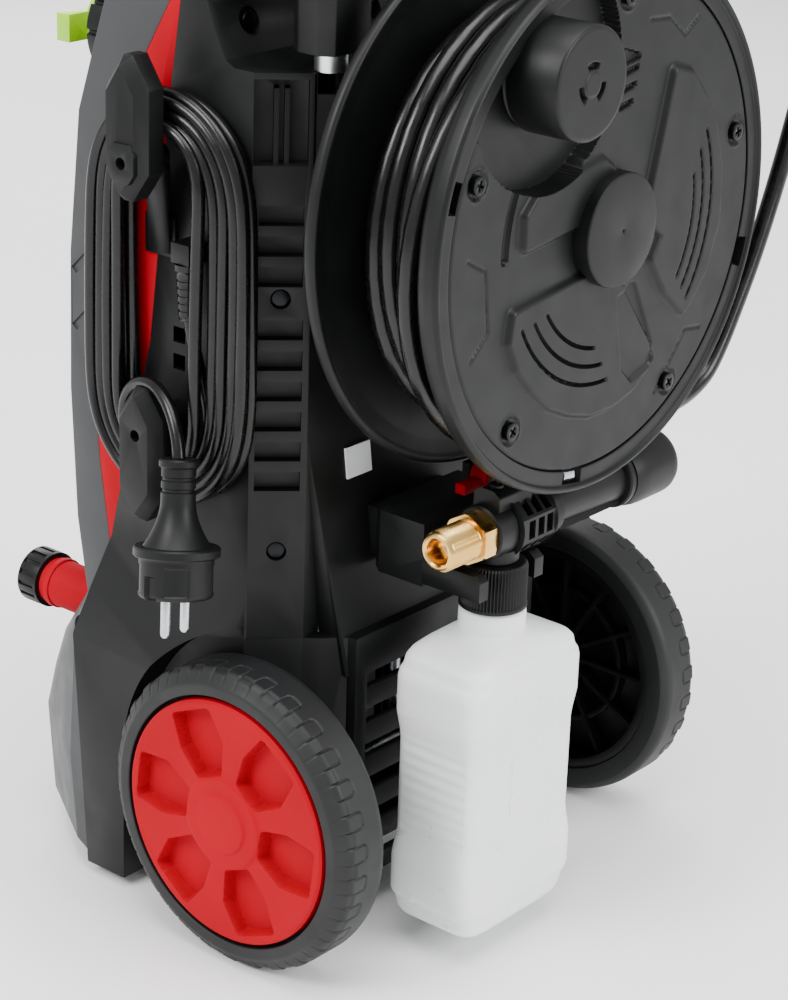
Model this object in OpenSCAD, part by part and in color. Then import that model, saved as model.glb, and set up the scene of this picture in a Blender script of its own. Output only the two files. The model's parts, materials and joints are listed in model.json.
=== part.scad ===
// Upright electric pressure washer with a hose reel, a foam lance and a wound mains lead.
// Millimetres, +Z up. The front of the washer faces -Y, the reel and the bottle are at +Y.
// Modules draw in the axle frame: y = 0 on the wheel axle, z = 0 on the floor.
// from_axle() then moves them so that the origin lies under the middle of the whole machine.

/* [Housing] */
// Width over the flat side faces
body_w = 220; // [218:1:221]
// Height of the housing
body_h = 600; // [596:1:604]
// Wall thickness of the shells
wall = 3; // [2.5:0.1:3.2]
// Height of the ledge that the handle tubes stand on
ledge_z = 446; // [445:1:447]

/* [Wheels] */
// Diameter of the wheels over the tread
wheel_d = 160; // [158:1:161]
// Diameter of the steel axle
axle_d = 12; // [10:1:12]
// Pockets in each red wheel disc
disc_pockets = 6; // [5:1:8]

/* [Hose reel] */
// Height of the reel axis
reel_z = 377; // [376:1:379]
// Diameter of the rear flange
flange_d = 264; // [258:1:264]
// Diameter of the drum that the hose lies on
drum_d = 160; // [150:1:164]
// Outer diameter of the high-pressure hose
hose_d = 10; // [9:0.5:10]

/* [Handle] */
// Diameter of the handle tubes
tube_d = 16; // [15:0.5:17]
// Distance of each tube from the middle
tube_x = 80; // [78:1:81]
// Travel of the telescopic handle
handle_travel = 100; // [60:5:110]

/* [Mains lead] */
// Diameter of the lead
cord_d = 6.5; // [6:0.5:7]
// Diameter of the plug pins
pin_d = 4.8; // [4:0.1:4.8]
// Distance between the plug pins
pin_pitch = 19; // [18:0.5:19.5]

/* [Foam lance] */
// Length of the brass inlet thread
thread_len = 23; // [20:1:23]
// Height of the bottle to its shoulder
bottle_h = 149; // [143:1:151]

/* [Hidden] */
$fn = 48;

black = "#1f2022";
grey = "#5b5d60";
red = "#e4062d";
lime = "#9bd11c";
steel = "#c3c6c9";
brass = "#d9a545";
white = "#eef0f2";

axle_y = 45;
axle_z = wheel_d / 2;
hw = body_w / 2;
gap = 0.3;
fit = 0.05;
rear_y = -3;
crease_z = 188;
flare_x = hw + 20;
tyre_in = 118;
tyre_out = 149.4;
disc_out = 151.8;
knob_angle = 57;
knob_r = 96;
knob_x = knob_r * cos(knob_angle);
knob_z = reel_z + knob_r * sin(knob_angle);
cover_r = 118.9;
lance_y = 70;
lance_z = 224;
bottle_x = 31;
gun_x = -hw - 21;
motor_y = -80;
foot_y = -132;
recess_y = -55;
hank_x0 = hw + 2.5;
hank_x1 = hw + 16.5;
hook_y = -73;

// Side outline of the front face, from the top down, as (y, z)
FRONT_EDGE = [[-30, body_h], [-70, body_h - 14], [-98, body_h - 46], [-120, 508], [-141, 445],
  [-153, 408], [-160, 335], [-161, 262], [-157, 192], [-149, 145]];
// Side outline of the lower front cover, from the top down
TOE_EDGE = [[-149, 145], [-168, 115], [-176, 92], [-183, 66], [-178, 16], [-160, 6]];
// Seams between the grey cover, the red strips and the black housing, from the bottom up
COVER_SEAM = [[-127, 141], [-119, 183], [-126, 227], [-129, 259], [-112, 368], [-94, 442],
  [-77, 471], [-66, 490], [-62, 520], [-62, 620]];
HOUSING_SEAM = [[-127, 141], [-119, 183], [-114, 206], [-90, 300], [-85, 344], [-76, 432],
  [-70, 472], [-66, 490], [-62, 520], [-62, 620]];
// Places across the width and how far the front face stands back there
SLICES = [[hw, 14], [hw - 12, 4], [60, -9], [24, -15]];
TOE_SLICES = [[hw + 19, 52], [hw - 14, 0], [24, -11]];

// Screws in the wall above the ledge, as (x, z)
SCREW_SPOTS = [[-86, 463], [0, 459], [86, 463]];

// Routes of the free cords, chosen by hand
GLAND_EXIT = [119, -56, 348];
LEAD_ROUTE = [GLAND_EXIT, [119, -56, 340], [119, -56, 329], [119, -56, 317], [119, -55, 305],
  [119, -54, 293], [119, -52, 281], [119, -50, 268]];
TAIL_ROUTE = [[119, -87, 262], [119, -87, 270], [120, -84, 280], [121, -79, 287],
  [123, -72, 292], [127, -63, 294], [131, -54, 293], [136, -46, 288], [141, -40, 280],
  [144, -37, 271], [145, -36, 262]];
HOSE_ROUTE = [[0, 64, 262], [-14, 65, 262], [-30, 65, 261], [-48, 65, 258], [-68, 65, 254],
  [-88, 65, 250], [-108, 65, 248], [-126, 65, 248], [-142, 65, 251], [-156, 65, 258],
  [-168, 65, 272], [-180, 65, 291], [-191, 65, 310], [-201, 65, 330], [-210, 65, 350],
  [-217, 66, 372], [-222, 68, 396], [-224, 72, 422], [-223, 77, 448], [-219, 83, 474],
  [-212, 89, 499], [-202, 94, 523], [-190, 98, 544], [-176, 98, 561], [-162, 94, 574],
  [-149, 86, 583], [-139, 76, 588], [-133, 66, 590], [gun_x, 56, 590]];

// ---------------------------------------------------------------- helpers

module from_axle() translate([0, axle_y, 0]) children();

// Extrudes a (y, z) outline along X
module along_x(x0, x1) translate([x0, 0, 0]) rotate([90, 0, 90]) linear_extrude(x1 - x0) children();

// Extrudes an (x, z) outline along Y
module along_y(y0, y1) translate([0, y1, 0]) rotate([90, 0, 0]) linear_extrude(y1 - y0) children();

// Extrudes an (x, y) outline along Z
module along_z(z0, z1) translate([0, 0, z0]) linear_extrude(z1 - z0) children();

module rod_x(x0, x1, y, z, d) translate([x0, y, z]) rotate([0, 90, 0]) cylinder(h = x1 - x0, d = d);
module rod_y(y0, y1, x, z, d) translate([x, y0, z]) rotate([-90, 0, 0]) cylinder(h = y1 - y0, d = d);
module rod_z(z0, z1, x, y, d) translate([x, y, z0]) cylinder(h = z1 - z0, d = d);
module cone_x(x0, x1, y, z, d0, d1)
  translate([x0, y, z]) rotate([0, 90, 0]) cylinder(h = x1 - x0, d1 = d0, d2 = d1);
module box(low, high) translate(low) cube(high - low);

// Draws the children and their mirror image on the other side
module both_sides() {
  children();
  mirror([1, 0, 0]) children();
}

// Points a body of revolution about Y at the reel axis
module on_reel(y) translate([0, y, reel_z]) rotate([-90, 0, 0]) children();

// Mirrors an outline of points with x >= 0 into a closed symmetric outline
function symmetric(pts) =
  concat(pts, [for (i = [len(pts) - 1 : -1 : 0]) [-pts[i][0], pts[i][1]]]);

// A rectangle with cut corners, centred
module octagon_plate(w, h, cut)
  polygon([[w / 2, h / 2 - cut], [w / 2 - cut * 0.7, h / 2], [-w / 2 + cut * 0.7, h / 2],
    [-w / 2, h / 2 - cut], [-w / 2, -h / 2 + cut], [-w / 2 + cut * 0.7, -h / 2],
    [w / 2 - cut * 0.7, -h / 2], [w / 2, -h / 2 + cut]]);

// A rectangle with round ends, centred, its long side along y
module racetrack(w, h) {
  square([w, h - w], center = true);
  for (s = [-1, 1]) translate([0, s * (h - w) / 2]) circle(d = w);
}

// ---------------------------------------------------------------- swept tubes

function unit(v) = v / norm(v);
function chord(route, i) =
  unit(route[min(i + 1, len(route) - 1)] - route[max(i - 1, 0)]);
function square_to(t, hint) = unit(hint - t * (hint * t));
// Carries the sweep's side direction along the route without twist
function sides(route, i, last) =
  i == len(route) ? [] :
    let (s = square_to(chord(route, i), last)) concat([s], sides(route, i + 1, s));
function ring(p, t, s, r, n) =
  [for (k = [0 : n - 1]) p + r * (cos(360 * k / n) * s + sin(360 * k / n) * cross(t, s))];

// A round tube along a route of points
module swept_tube(route, d, n, hint) {
  side = sides(route, 0, hint);
  last = len(route) - 1;
  points = [for (i = [0 : last]) each ring(route[i], chord(route, i), side[i], d / 2, n)];
  walls = [for (i = [0 : last - 1], k = [0 : n - 1])
    [i * n + k, i * n + (k + 1) % n, (i + 1) * n + (k + 1) % n, (i + 1) * n + k]];
  ends = [[for (k = [n - 1 : -1 : 0]) k], [for (k = [0 : n - 1]) last * n + k]];
  polyhedron(points, [for (f = concat(walls, ends)) [for (k = [len(f) - 1 : -1 : 0]) f[k]]]);
}

// ---------------------------------------------------------------- housing volumes

// A thin slice of the upper body across x, moved inwards by inset
module upper_slice(x, back, inset)
  along_x(x - 0.01, x) polygon(concat([[rear_y, 145], [rear_y, body_h - inset]],
    [for (p = FRONT_EDGE) [p[0] + back + inset, p[1] - (p[1] > 500 ? inset : 0)]]));

module upper_volume(inset) hull() for (s = SLICES) both_sides()
  upper_slice(s[0] - inset, s[1], inset);

module toe_slice(x, back, inset)
  along_x(x - 0.01, x) polygon(concat([[-80, 6], [-80, 145]],
    [for (p = TOE_EDGE) [p[0] + back * (p[0] < -150 ? 1 : 0.45) + inset, p[1]]]));

module toe_volume(inset) hull() for (s = TOE_SLICES) both_sides()
  toe_slice(s[0] - inset, s[1], inset);

// Everything in front of, or behind, a seam line
module before_seam(seam) along_x(-200, 200) polygon(concat(seam, [[-300, 620], [-300, 141]]));
module behind_seam(seam) along_x(-200, 200) polygon(concat(seam, [[200, 620], [200, 141]]));

// Plan of the upper body with its cut rear corners, moved inwards by inset
function upper_plan(inset) = symmetric([[hw - inset, -300], [hw - inset, -23 - inset * 1.2],
  [hw - 20 - inset * 1.2, rear_y - inset]]);

module flare_slab(x, y0, y1, z) box([-x, y0, z - 0.01], [x, y1, z]);

// Lower body: it flares out from the crease to the sides
module flare_volume() hull() {
  flare_slab(hw, -119, -23, crease_z);
  flare_slab(flare_x, -127, -23, 136);
  flare_slab(flare_x, -118, -23, 6);
}

// Rear block between the wheels, and the slope above it
module rear_block() {
  along_z(20, 160) polygon(symmetric([[hw + 2, -60], [hw + 2, -23], [hw - 20, -3], [84, 4],
    [74, 13], [73, 18]]));
  hull() {
    box([-90, -20, 264.9], [90, rear_y, 265]);
    box([-76, -20, 139], [76, 14, 139.1]);
  }
}

module wheel_wells() both_sides() {
  rod_x(hw + 2, 170, 0, axle_z, 180);
  box([hw + 2, -90, -1], [170, 50, axle_z]);
}

// Hollow inside of the rear housing
module housing_cavity() {
  bay_plan = symmetric([[hw - wall, -300], [hw - wall, -38], [hw - 34, rear_y - wall]]);
  intersection() {
    upper_volume(wall);
    union() {
      along_z(187, ledge_z - wall) polygon(bay_plan);
      box([-hw, -300, ledge_z - 10], [hw, recess_y - wall, 700]);
    }
  }
  along_z(12, 187.5) polygon(symmetric([[hw - 3, -300], [hw - 3, -34], [76, 0], [72, 4]]));
  along_z(12, 138) polygon(symmetric([[70, 0], [68, 8], [68, 15]]));
  both_sides() box([hw - 4, -300, 10], [flare_x - wall, -99, 132]);
}

// Space above the ledge, open to the rear
module ledge_recess() {
  along_x(-200, 200) polygon([[-24, ledge_z], [-35, ledge_z], [-41, ledge_z + 3],
    [-48, ledge_z + 16], [-53, ledge_z + 29], [recess_y, 500], [recess_y, 546], [60, 546],
    [60, ledge_z]]);
}

// Places things on the cut rear corner: x along the face, y into the body, z up
module on_corner(z) translate([hw - 10, -13, z]) rotate([0, 0, -45]) children();

// Rows of bays between the ribs of the cut corner
module corner_bays() {
  for (z = [343 : 15 : 373]) on_corner(z) box([-10.5, -6, 0], [11, 5, 10]);
  for (z = [239 : 15.5 : 317]) on_corner(z) box([-11, -6, 0], [11.5, 5, 10]);
  on_corner(402) difference() {
    box([-12, -11, 0], [14, 5, 41]);
    for (x = [-3, 2]) box([x, -11, 0], [x + 2.4, -4, 36]);
  }
}

module side_slots() for (z = [290, 304]) box([hw - 6, -74, z], [hw + 1, -66, z + 8]);

// ---------------------------------------------------------------- housing

module rear_housing() color(black) difference() {
  union() {
    intersection() {
      upper_volume(0);
      behind_seam(HOUSING_SEAM);
      along_z(160, 700) polygon(upper_plan(0));
    }
    intersection() {
      flare_volume();
      along_x(-200, 200) polygon([[-117, 5], [-127, 141], [-119, 183], [-117.9, crease_z], [0, 200], [0, 5]]);
    }
    rear_block();
    both_sides() {
      rod_x(58, hw + 5, 0, axle_z, 26);
      along_z(401, ledge_z) polygon([[91, -6], [79, 8], [66, 8], [58, -6]]);
    }
  }
  difference() {
    housing_cavity();
    both_sides() rod_x(58, hw, 0, axle_z, 26);
    box([-34, -26, reel_z - 34], [34, rear_y, reel_z + 34]);
  }
  wheel_wells();
  ledge_recess();
  both_sides() {
    corner_bays();
    side_slots();
    for (z = [207, 337]) on_corner(z) rotate([90, 0, 0]) translate([0, 0, -2]) cylinder(h = 8, d = 10);
  }
  rod_x(-200, 200, 0, axle_z, axle_d);
  for (z = [34 : 20 : 134]) for (x = [-64, 4]) translate([x, 18, z]) rotate([-25, 0, 0])
    box([0, -9, -4], [60, 9, 4]);
  both_sides() rod_z(ledge_z - 10, 700, tube_x, -2, tube_d + 2 * gap);
  rod_y(-80, 20, 0, reel_z, 14.6);
  both_sides() translate([tube_x, -2, 540]) linear_extrude(100) octagon_plate(34.6, 26.6, 7.2);
  for (p = SCREW_SPOTS) rod_y(-51, -20, p[0], p[1], 13);
  rod_z(300, reel_z + 5, 0, -18, 11);
}

module cover_openings() {
  rod_y(-240, -60, 56, 440, 18);
  rod_y(-240, -60, 70, 125, 26.6);
}

module front_cover() color(grey) difference() {
  intersection() {
    upper_volume(0);
    before_seam(COVER_SEAM);
    along_z(145.3, 700) polygon(upper_plan(0));
  }
  intersection() {
    upper_volume(wall);
    box([-hw, -300, 100], [hw, 0, 700]);
  }
  cover_openings();
  both_sides() for (z = [300, 330]) translate([hw - 1.2, -136, z]) rotate([45, 0, 0])
    box([0, -9, 0], [4, 9, 4]);
}

module lower_front_cover() color(grey) difference() {
  intersection() {
    toe_volume(0);
    along_x(-200, 200) polygon([[-117, 5], [-127.3, 145], [-300, 145], [-300, 5]]);
  }
  intersection() {
    toe_volume(wall);
    box([-200, -300, 9], [200, 0, 160]);
  }
  cover_openings();
  difference() {
    both_sides() along_y(-210, -160) polygon([[34, 62], [78, 52], [86, 24], [42, 30]]);
    toe_volume(1.2);
  }
  both_sides() translate([66, foot_y, 5]) cylinder(h = 5, d = 6.4);
}

// Red inlays between the cover and the housing, and two slashes in the cover
module accent_strips() color(red) both_sides() {
  intersection() {
    along_x(hw - wall, hw) polygon(concat([for (p = COVER_SEAM) if (p[1] > 180 && p[1] < 495) p],
      [for (i = [len(HOUSING_SEAM) - 1 : -1 : 0])
        if (HOUSING_SEAM[i][1] > 190 && HOUSING_SEAM[i][1] < 480) HOUSING_SEAM[i]]));
    upper_volume(0);
  }
}

module front_foot() color(black) {
  box([-92, foot_y - 9, 0], [92, foot_y + 9, 6]);
  both_sides() rod_z(6, 9, 66, foot_y, 6);
}

// ---------------------------------------------------------------- wheels

module axle() color(steel) rod_x(-disc_out + 6, disc_out - 6, 0, axle_z, axle_d);

module axle_caps() color(steel) both_sides() difference() {
  rod_x(tyre_out - 9.2, tyre_out - 7.2, 0, axle_z, 20);
  rod_x(100, 160, 0, axle_z, axle_d);
}

module wheel_place(side) scale([side, 1, 1]) translate([0, 0, axle_z]) rotate([0, 90, 0]) children();

// Tyre: a ring with a chamfered shoulder and D-shaped lugs on it
module tyre() color(black) {
  r = axle_z;
  rotate_extrude($fn = 96) polygon([[66, tyre_in + 1], [r - 4, tyre_in], [r - 1, tyre_in + 3],
    [r, tyre_in + 6], [r, tyre_out - 11], [r - 3, tyre_out - 5], [70, tyre_out], [66.5, tyre_out],
    [66.5, tyre_out - 9], [66, tyre_out - 9]]);
}

// Core: rim, web, ribs and hub with the bore for the axle
module wheel_core() color(black) difference() {
  union() {
    rotate_extrude($fn = 96) polygon([[61, tyre_in + 2], [65.9, tyre_in + 2],
      [65.9, tyre_out - 9.3], [61, tyre_out - 9.3]]);
    rotate_extrude($fn = 96) polygon([[10, tyre_out - 13], [61, tyre_out - 13],
      [61, tyre_out - 9.3], [10, tyre_out - 9.3]]);
    rotate_extrude($fn = 96) polygon([[38, tyre_out - 20], [41, tyre_out - 20],
      [41, tyre_out - 13], [38, tyre_out - 13]]);
    translate([0, 0, tyre_in + 2]) cylinder(h = tyre_out - tyre_in - 11.3, d = 28);
    for (a = [0 : 30 : 330]) rotate([0, 0, a]) box([13, -1.2, tyre_out - 22], [61.5, 1.2, tyre_out - 13]);
  }
  translate([0, 0, 100]) cylinder(h = 60, r = axle_d / 2 + fit);
}

// Red disc with swept pockets round a raised boss
module wheel_disc() color(red) difference() {
  union() {
    rotate_extrude($fn = 96) polygon([[0, disc_out - 4], [58, disc_out - 7.5],
      [58, tyre_out - 9.2], [64.7, tyre_out - 9.2], [64.7, disc_out - 2.5],
      [62.5, disc_out - 1.5], [30, disc_out - 1.5], [24, disc_out], [0, disc_out]]);
  }
  for (i = [0 : disc_pockets - 1]) rotate([0, 0, i * 360 / disc_pockets])
    translate([0, 0, disc_out - 3.4]) linear_extrude(5)
      polygon([[27, -4], [36, -14], [50, -19], [58, -14], [59.5, 4], [52, 15], [46, 14], [38, 4]]);
  translate([0, 0, 100]) cylinder(h = 45.5, d = 24);
}

// ---------------------------------------------------------------- motor and pump

module motor_stator() color(steel) difference() {
  rod_z(150, 232, 0, motor_y, 104);
  rod_z(140, 240, 0, motor_y, 68.6);
}

// Two shields that carry the shaft and join the stator to the housing
module motor_end_shields() color(black) {
  for (z = [141.5, 232.5]) difference() {
    union() {
      rod_z(z, z + 8, 0, motor_y, 104);
      box([-104, motor_y - 10, z], [104, motor_y + 10, z + 8]);
    }
    rod_z(z - 1, z + 9, 0, motor_y, axle_d + 2 * fit);
  }
}

module motor_rotor() color(steel) {
  rod_z(112, 262, 0, motor_y, 12);
  rod_z(155, 228, 0, motor_y, 68);
}

module motor_fan() color(white) difference() {
  union() {
    rod_z(246, 249, 0, motor_y, 84);
    for (a = [0 : 45 : 315]) translate([0, motor_y, 0]) rotate([0, 0, a])
      box([9, -1, 249], [41, 1, 259]);
    rod_z(246, 259, 0, motor_y, 22);
  }
  rod_z(240, 270, 0, motor_y, 12);
}

// Slanted plate that drives the pistons
module pump_wobble_plate() color(steel) difference() {
  intersection() {
    translate([0, motor_y, 122]) rotate([0, 7, 0]) cylinder(h = 60, d = 66, center = true);
    translate([0, motor_y, 112]) cylinder(h = 14, d = 60);
  }
  translate([0, motor_y, 106]) rotate([0, 7, 0]) translate([-50, -50, -12]) cube([100, 100, 20]);
  rod_z(100, 140, 0, motor_y, 12);
}

module pump_pistons() color(steel) for (a = [30, 150, 270])
  translate([0, motor_y, 0]) rotate([0, 0, a]) rod_z(86, 106, 20, 0, 12);

module pump_head() color(grey) difference() {
  union() {
    rod_z(36, 100, 0, motor_y, 78);
    box([-104, motor_y - 12, 12], [104, motor_y + 12, 36]);
  }
  for (a = [30, 150, 270]) translate([0, motor_y, 0]) rotate([0, 0, a])
    rod_z(70, 120, 20, 0, 12 + 2 * fit);
  rod_y(motor_y, 0, 0, 62, 10);
}

// Pipe from the pump to the reel's swivel
module outlet_pipe() color(steel) {
  rod_y(motor_y + 14, -18, 0, 62, 9.9);
  rod_z(62, reel_z, 0, -18, 9.9);
  translate([0, -18, 62]) sphere(d = 9.9);
  translate([0, -18, reel_z]) sphere(d = 9.9);
}

module capacitor() color(steel) rod_z(280, 350, 52, -92, 36);

module switch_box() color(black) {
  box([32, -128, 418], [80, -98, 462]);
  rod_y(-165, -127, 56, 440, 10);
}

// Rotary switch with a long grip across it
module switch_knob() color(lime) difference() {
  union() {
    rod_y(-169, -161.5, 56, 440, 40);
    box([40, -177, 433], [88, -168, 447]);
  }
  rod_y(-165.5, -150, 56, 440, 10 + 2 * fit);
}

module inlet_union() color(red) difference() {
  union() {
    rod_y(-203, -150, 70, 125, 26);
    rod_y(-199, -195, 70, 125, 28);
  }
  rod_y(-204, -149, 70, 125, 14);
}

// Quick-connect cap with grip ribs
module inlet_cap() color(black) difference() {
  rod_y(-217, -203.2, 70, 125, 31);
  rod_y(-218, -200, 70, 125, 13);
  for (a = [0 : 24 : 336]) translate([70, -210, 125]) rotate([0, a, 0])
    box([14.4, -6, -1.2], [17, 5, 1.2]);
}

// ---------------------------------------------------------------- handle

module handle_tubes() color(steel) both_sides() difference() {
  rod_z(ledge_z + gap, 650, tube_x, -2, tube_d);
  rod_z(ledge_z - 1, 640, tube_x, -2, tube_d - 3);
}

module handle_grip() color(black) difference() {
  union() {
    both_sides() rod_z(628, 660, tube_x, -2, 27);
    rod_x(-tube_x, tube_x, -2, 648, 27);
    both_sides() translate([tube_x, -2, 648]) sphere(d = 27);
  }
  both_sides() rod_z(600, 650, tube_x, -2, tube_d);
  box([-16.3, -10.3, 652], [16.3, 6.3, 680]);
}

module handle_button() color(red) box([-16, -10, 656.5], [16, 6, 664]);

// Guides that the tubes slide in
module handle_sleeves() color(black) both_sides() difference() {
  union() {
    translate([tube_x, -2, 456]) linear_extrude(139) octagon_plate(34, 26, 7);
    box([tube_x - 9, recess_y + 0.2, 505], [tube_x + 9, -10, 540]);
  }
  rod_z(440, 700, tube_x, -2, tube_d + 2 * fit);
}

// ---------------------------------------------------------------- cord hooks and mains lead

// Hook plate in the (y, z) plane with bevelled edges
module bevelled_plate(x0, x1, y, z, w, h) translate([0, y, z]) {
  along_x(x0, x1 - 6) octagon_plate(w, h, 15);
  hull() {
    along_x(x1 - 6.01, x1 - 6) octagon_plate(w, h, 15);
    along_x(x1 - 0.01, x1) octagon_plate(w - 9, h - 9, 13);
  }
}

module hook_base() color(black) {
  box([hw, -91, 347], [hw + 2.3, -71, 367]);
  hull() {
    box([hw + 2, -88, 349], [hw + 3, -74, 365]);
    translate([hw + 12, hook_y, 394]) sphere(d = 12, $fn = 24);
  }
  rod_x(hw + 10, hw + 19, hook_y, 400, 12);
  rod_x(hw + 18, hw + 30, hook_y, 400, 8);
}

// The upper plate turns on its pin, so that the wound lead lifts off
module hook_plate() color(black) difference() {
  union() {
    bevelled_plate(hw + 19.3, hw + 35, -75.5, 415, 27, 70);
    translate([0, hook_y, 400]) along_x(hw + 34, hw + 37) octagon_plate(17, 19, 5);
  }
  rod_x(hw + 19, hw + 31, hook_y, 400, 8 + 2 * fit);
  rod_x(hw + 31.5, hw + 38, hook_y, 400, 6);
}

module lower_hook() color(black) difference() {
  union() {
    rod_x(hw, hw + 18, -71, 263, 22);
    bevelled_plate(hw + 17, hw + 30, -72, 252, 28, 70);
  }
  rod_x(hw + 8, hw + 31, -71, 263, 6);
}

module cord_gland() color(black) difference() {
  union() {
    box([hw, -62, 350], [hw + 14.5, -50, 360]);
    rod_z(348, 350, 119, -56, 10);
  }
  rod_x(hw - 1, hw + 4, -56, 355, 6);
}

module cord_lead() color(black) swept_tube(LEAD_ROUTE, cord_d, 10, [1, 0, 0]);

module cord_tail() color(black) swept_tube(TAIL_ROUTE, cord_d, 10, [1, 0, 0]);

// The wound length of the lead, one flat ring with round ends
module cord_hank() color(black) translate([0, -68, 329]) difference() {
  along_x(hank_x0, hank_x1) racetrack(106, 212);
  along_x(hank_x0 - 1, hank_x1 + 1) racetrack(42, 157);
}

// The plug hangs from the end of the lead, its pins swung a little outwards
module on_plug() translate([145, -36, 262]) rotate(a = 14, v = [0.632, -0.775, 0]) children();

module plug_body() color(black) on_plug() {
  translate([0, 0, -67]) cylinder(h = 25, d = 36.6);
  translate([0, 0, -47]) cylinder(h = 5, d = 42);
  translate([0, 0, -42]) cylinder(h = 6, d1 = 33, d2 = 25);
  translate([0, 0, -36]) cylinder(h = 15, d1 = 25, d2 = 17);
  translate([0, 0, -21]) cylinder(h = 17, d = 16);
  translate([0, 0, -4]) cylinder(h = 4, d = 19);
}

module plug_pins() color(steel) on_plug() for (s = [-1, 1])
  translate([s * 0.968, s * 0.248, 0] * pin_pitch / 2 + [0, 0, -86]) {
    cylinder(h = 19, d = pin_d);
    sphere(d = pin_d);
  }

// ---------------------------------------------------------------- hose reel

// Fixed spindle with its mounting plate and the swivel bore
module reel_spindle() color(black) difference() {
  union() {
    rod_y(-12, 97, 0, reel_z, 14);
    rod_y(rear_y + 0.1, 6, 0, reel_z, 120);
    rod_y(6, 24, 0, reel_z, 70);
  }
  rod_y(-13, 60, 0, reel_z, 7);
}

// Rear flange, drum and bearing hub in one moulding
module reel_rear_flange() color(black) difference() {
  union() {
    on_reel(28) rotate_extrude($fn = 128) polygon([[16, 0], [flange_d / 2 - 3, 0],
      [flange_d / 2, 1.5], [flange_d / 2, 5.5], [flange_d / 2 - 4, 6], [flange_d / 2 - 9, 4],
      [drum_d / 2, 4], [drum_d / 2, 62.7], [drum_d / 2 - 3, 62.7], [drum_d / 2 - 3, 4], [16, 4]]);
    on_reel(28) cylinder(h = 62.7, d = 32);
    for (a = [0 : 60 : 300]) translate([0, 0, reel_z]) rotate([0, a, 0])
      box([14, 31, -1.5], [drum_d / 2 - 1, 60, 1.5]);
  }
  on_reel(20) cylinder(h = 90, r = 7 + fit);
}

// Front flange: a ring whose rim turns outwards, with the pocket of the crank knob
module reel_front_flange() color(black) difference() {
  on_reel(91) rotate_extrude($fn = 128) polygon([[20, 0], [126, 0], [130, 5], [130, 13],
    [cover_r + gap, 13], [cover_r + gap, 7.4], [112, 7.4], [112, 3], [20, 3]]);
  rod_y(93.5, 110, knob_x, knob_z, 60);
  on_reel(80) cylinder(h = 30, r = 8 + gap);
  for (a = [40 : 72 : 350]) on_reel(100) rotate([0, 0, a]) box([121.5, -7, 1], [126.5, 7, 5]);
}

// Cover disc with its embossed blades, comb slots and air grooves
module reel_cover() color(black) difference() {
  union() {
    on_reel(98.5) cylinder(h = 4.7, r = cover_r, $fn = 128);
    on_reel(103) cylinder(h = 9, d1 = 70, d2 = 62);
    for (a = [-18, 102, 222]) on_reel(102.7) rotate([0, 0, a]) linear_extrude(3)
      polygon([[24, -16], [62, -16], [70, -10], [72, 10], [64, 18], [24, 20]]);
  }
  rod_y(90, 120, knob_x, knob_z, 108);
  for (a = [-54, 66, 186], k = [0 : 3]) if (a != 66) on_reel(101.5) rotate([0, 0, a])
    rotate_extrude(angle = 52 - 6 * k, $fn = 96) translate([62 + 8 * k, 0]) square([3, 5]);
  for (a = [21 : 72 : 345]) on_reel(101.8) rotate([0, 0, -a]) translate([109, 0, 0])
    cylinder(h = 5, d = 12.4);
}

module reel_screws() color(steel) for (a = [21 : 72 : 345]) on_reel(101.9)
  rotate([0, 0, -a]) translate([109, 0, 0]) difference() {
    cylinder(h = 3, d = 9);
    for (t = [0, 90]) rotate([0, 0, t]) box([-2.6, -0.6, 1.4], [2.6, 0.6, 4]);
  }

module crank_pin() color(steel) rod_y(93.5, 116, knob_x, knob_z, 8);

module crank_knob() color(black) difference() {
  union() {
    rod_y(94.5, 97, knob_x, knob_z, 49);
    rod_y(97, 125, knob_x, knob_z, 53);
    rod_y(124.5, 127, knob_x, knob_z, 48);
  }
  rod_y(90, 116.2, knob_x, knob_z, 8 + 2 * fit);
  for (a = [30, 150, 270]) translate([knob_x, 125.2, knob_z]) rotate([-90, 0, 0])
    rotate([0, 0, a]) rotate_extrude(angle = 62) translate([8, 0]) square([4, 3]);
}

module hose_winding() color(black) on_reel(38.5)
  rotate_extrude($fn = 96) polygon([[drum_d / 2 + gap, 0], [109, 0], [109, 52], [drum_d / 2 + gap, 52]]);

module hose_free() color(black) swept_tube(HOSE_ROUTE, hose_d, 10, [0, 1, 0]);

// Lever that presses on the rear flange to hold the reel still
module reel_lock() color(red) difference() {
  union() {
    rod_y(36, 46, 4, 236, 12);
    box([4, 38, 231], [24, 44, 236]);
  }
  rod_y(30, 50, 4, 236, 5 + 2 * fit);
}

// Screws in the housing and the small plate on its rear panel
module housing_fittings() color(steel) {
  both_sides() for (z = [207, 337]) on_corner(z) rotate([90, 0, 0]) translate([0, 0, 1.4])
    cylinder(h = 4.4, d = 8);
  for (p = SCREW_SPOTS) rod_y(-50.9, -48, p[0], p[1], 9);
  translate([46, 0.55, 239]) rotate([7.68, 0, 0]) box([0, 0.05, 0], [18, 1.2, 16]);
}

// ---------------------------------------------------------------- foam lance and bottle

// Box on the rear panel with two fork prongs that carry the lance
module bottle_holder() color(black) {
  difference() {
    along_z(192, 225) polygon([[56.5, 45], [56.5, 17], [50, 9.5], [-14, 9.5], [-14, 40], [-8, 45]]);
    box([-5, 20, 190], [48, 40, 221]);
  }
  for (x = [5.5, 49.8]) along_x(x, x + 7) polygon([[44.9, 194], [44.9, 207], [77, 207],
    [81, 204], [81, 194]]);
  box([-2, 31, 224], [10, 35.6, 242]);
  rod_y(35, 45.9, 4, 236, 5);
  along_x(-8, 50) polygon([[9.5, 222], [3.1, 222], [6.6, 196.5], [9.5, 196.5]]);
}

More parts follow.
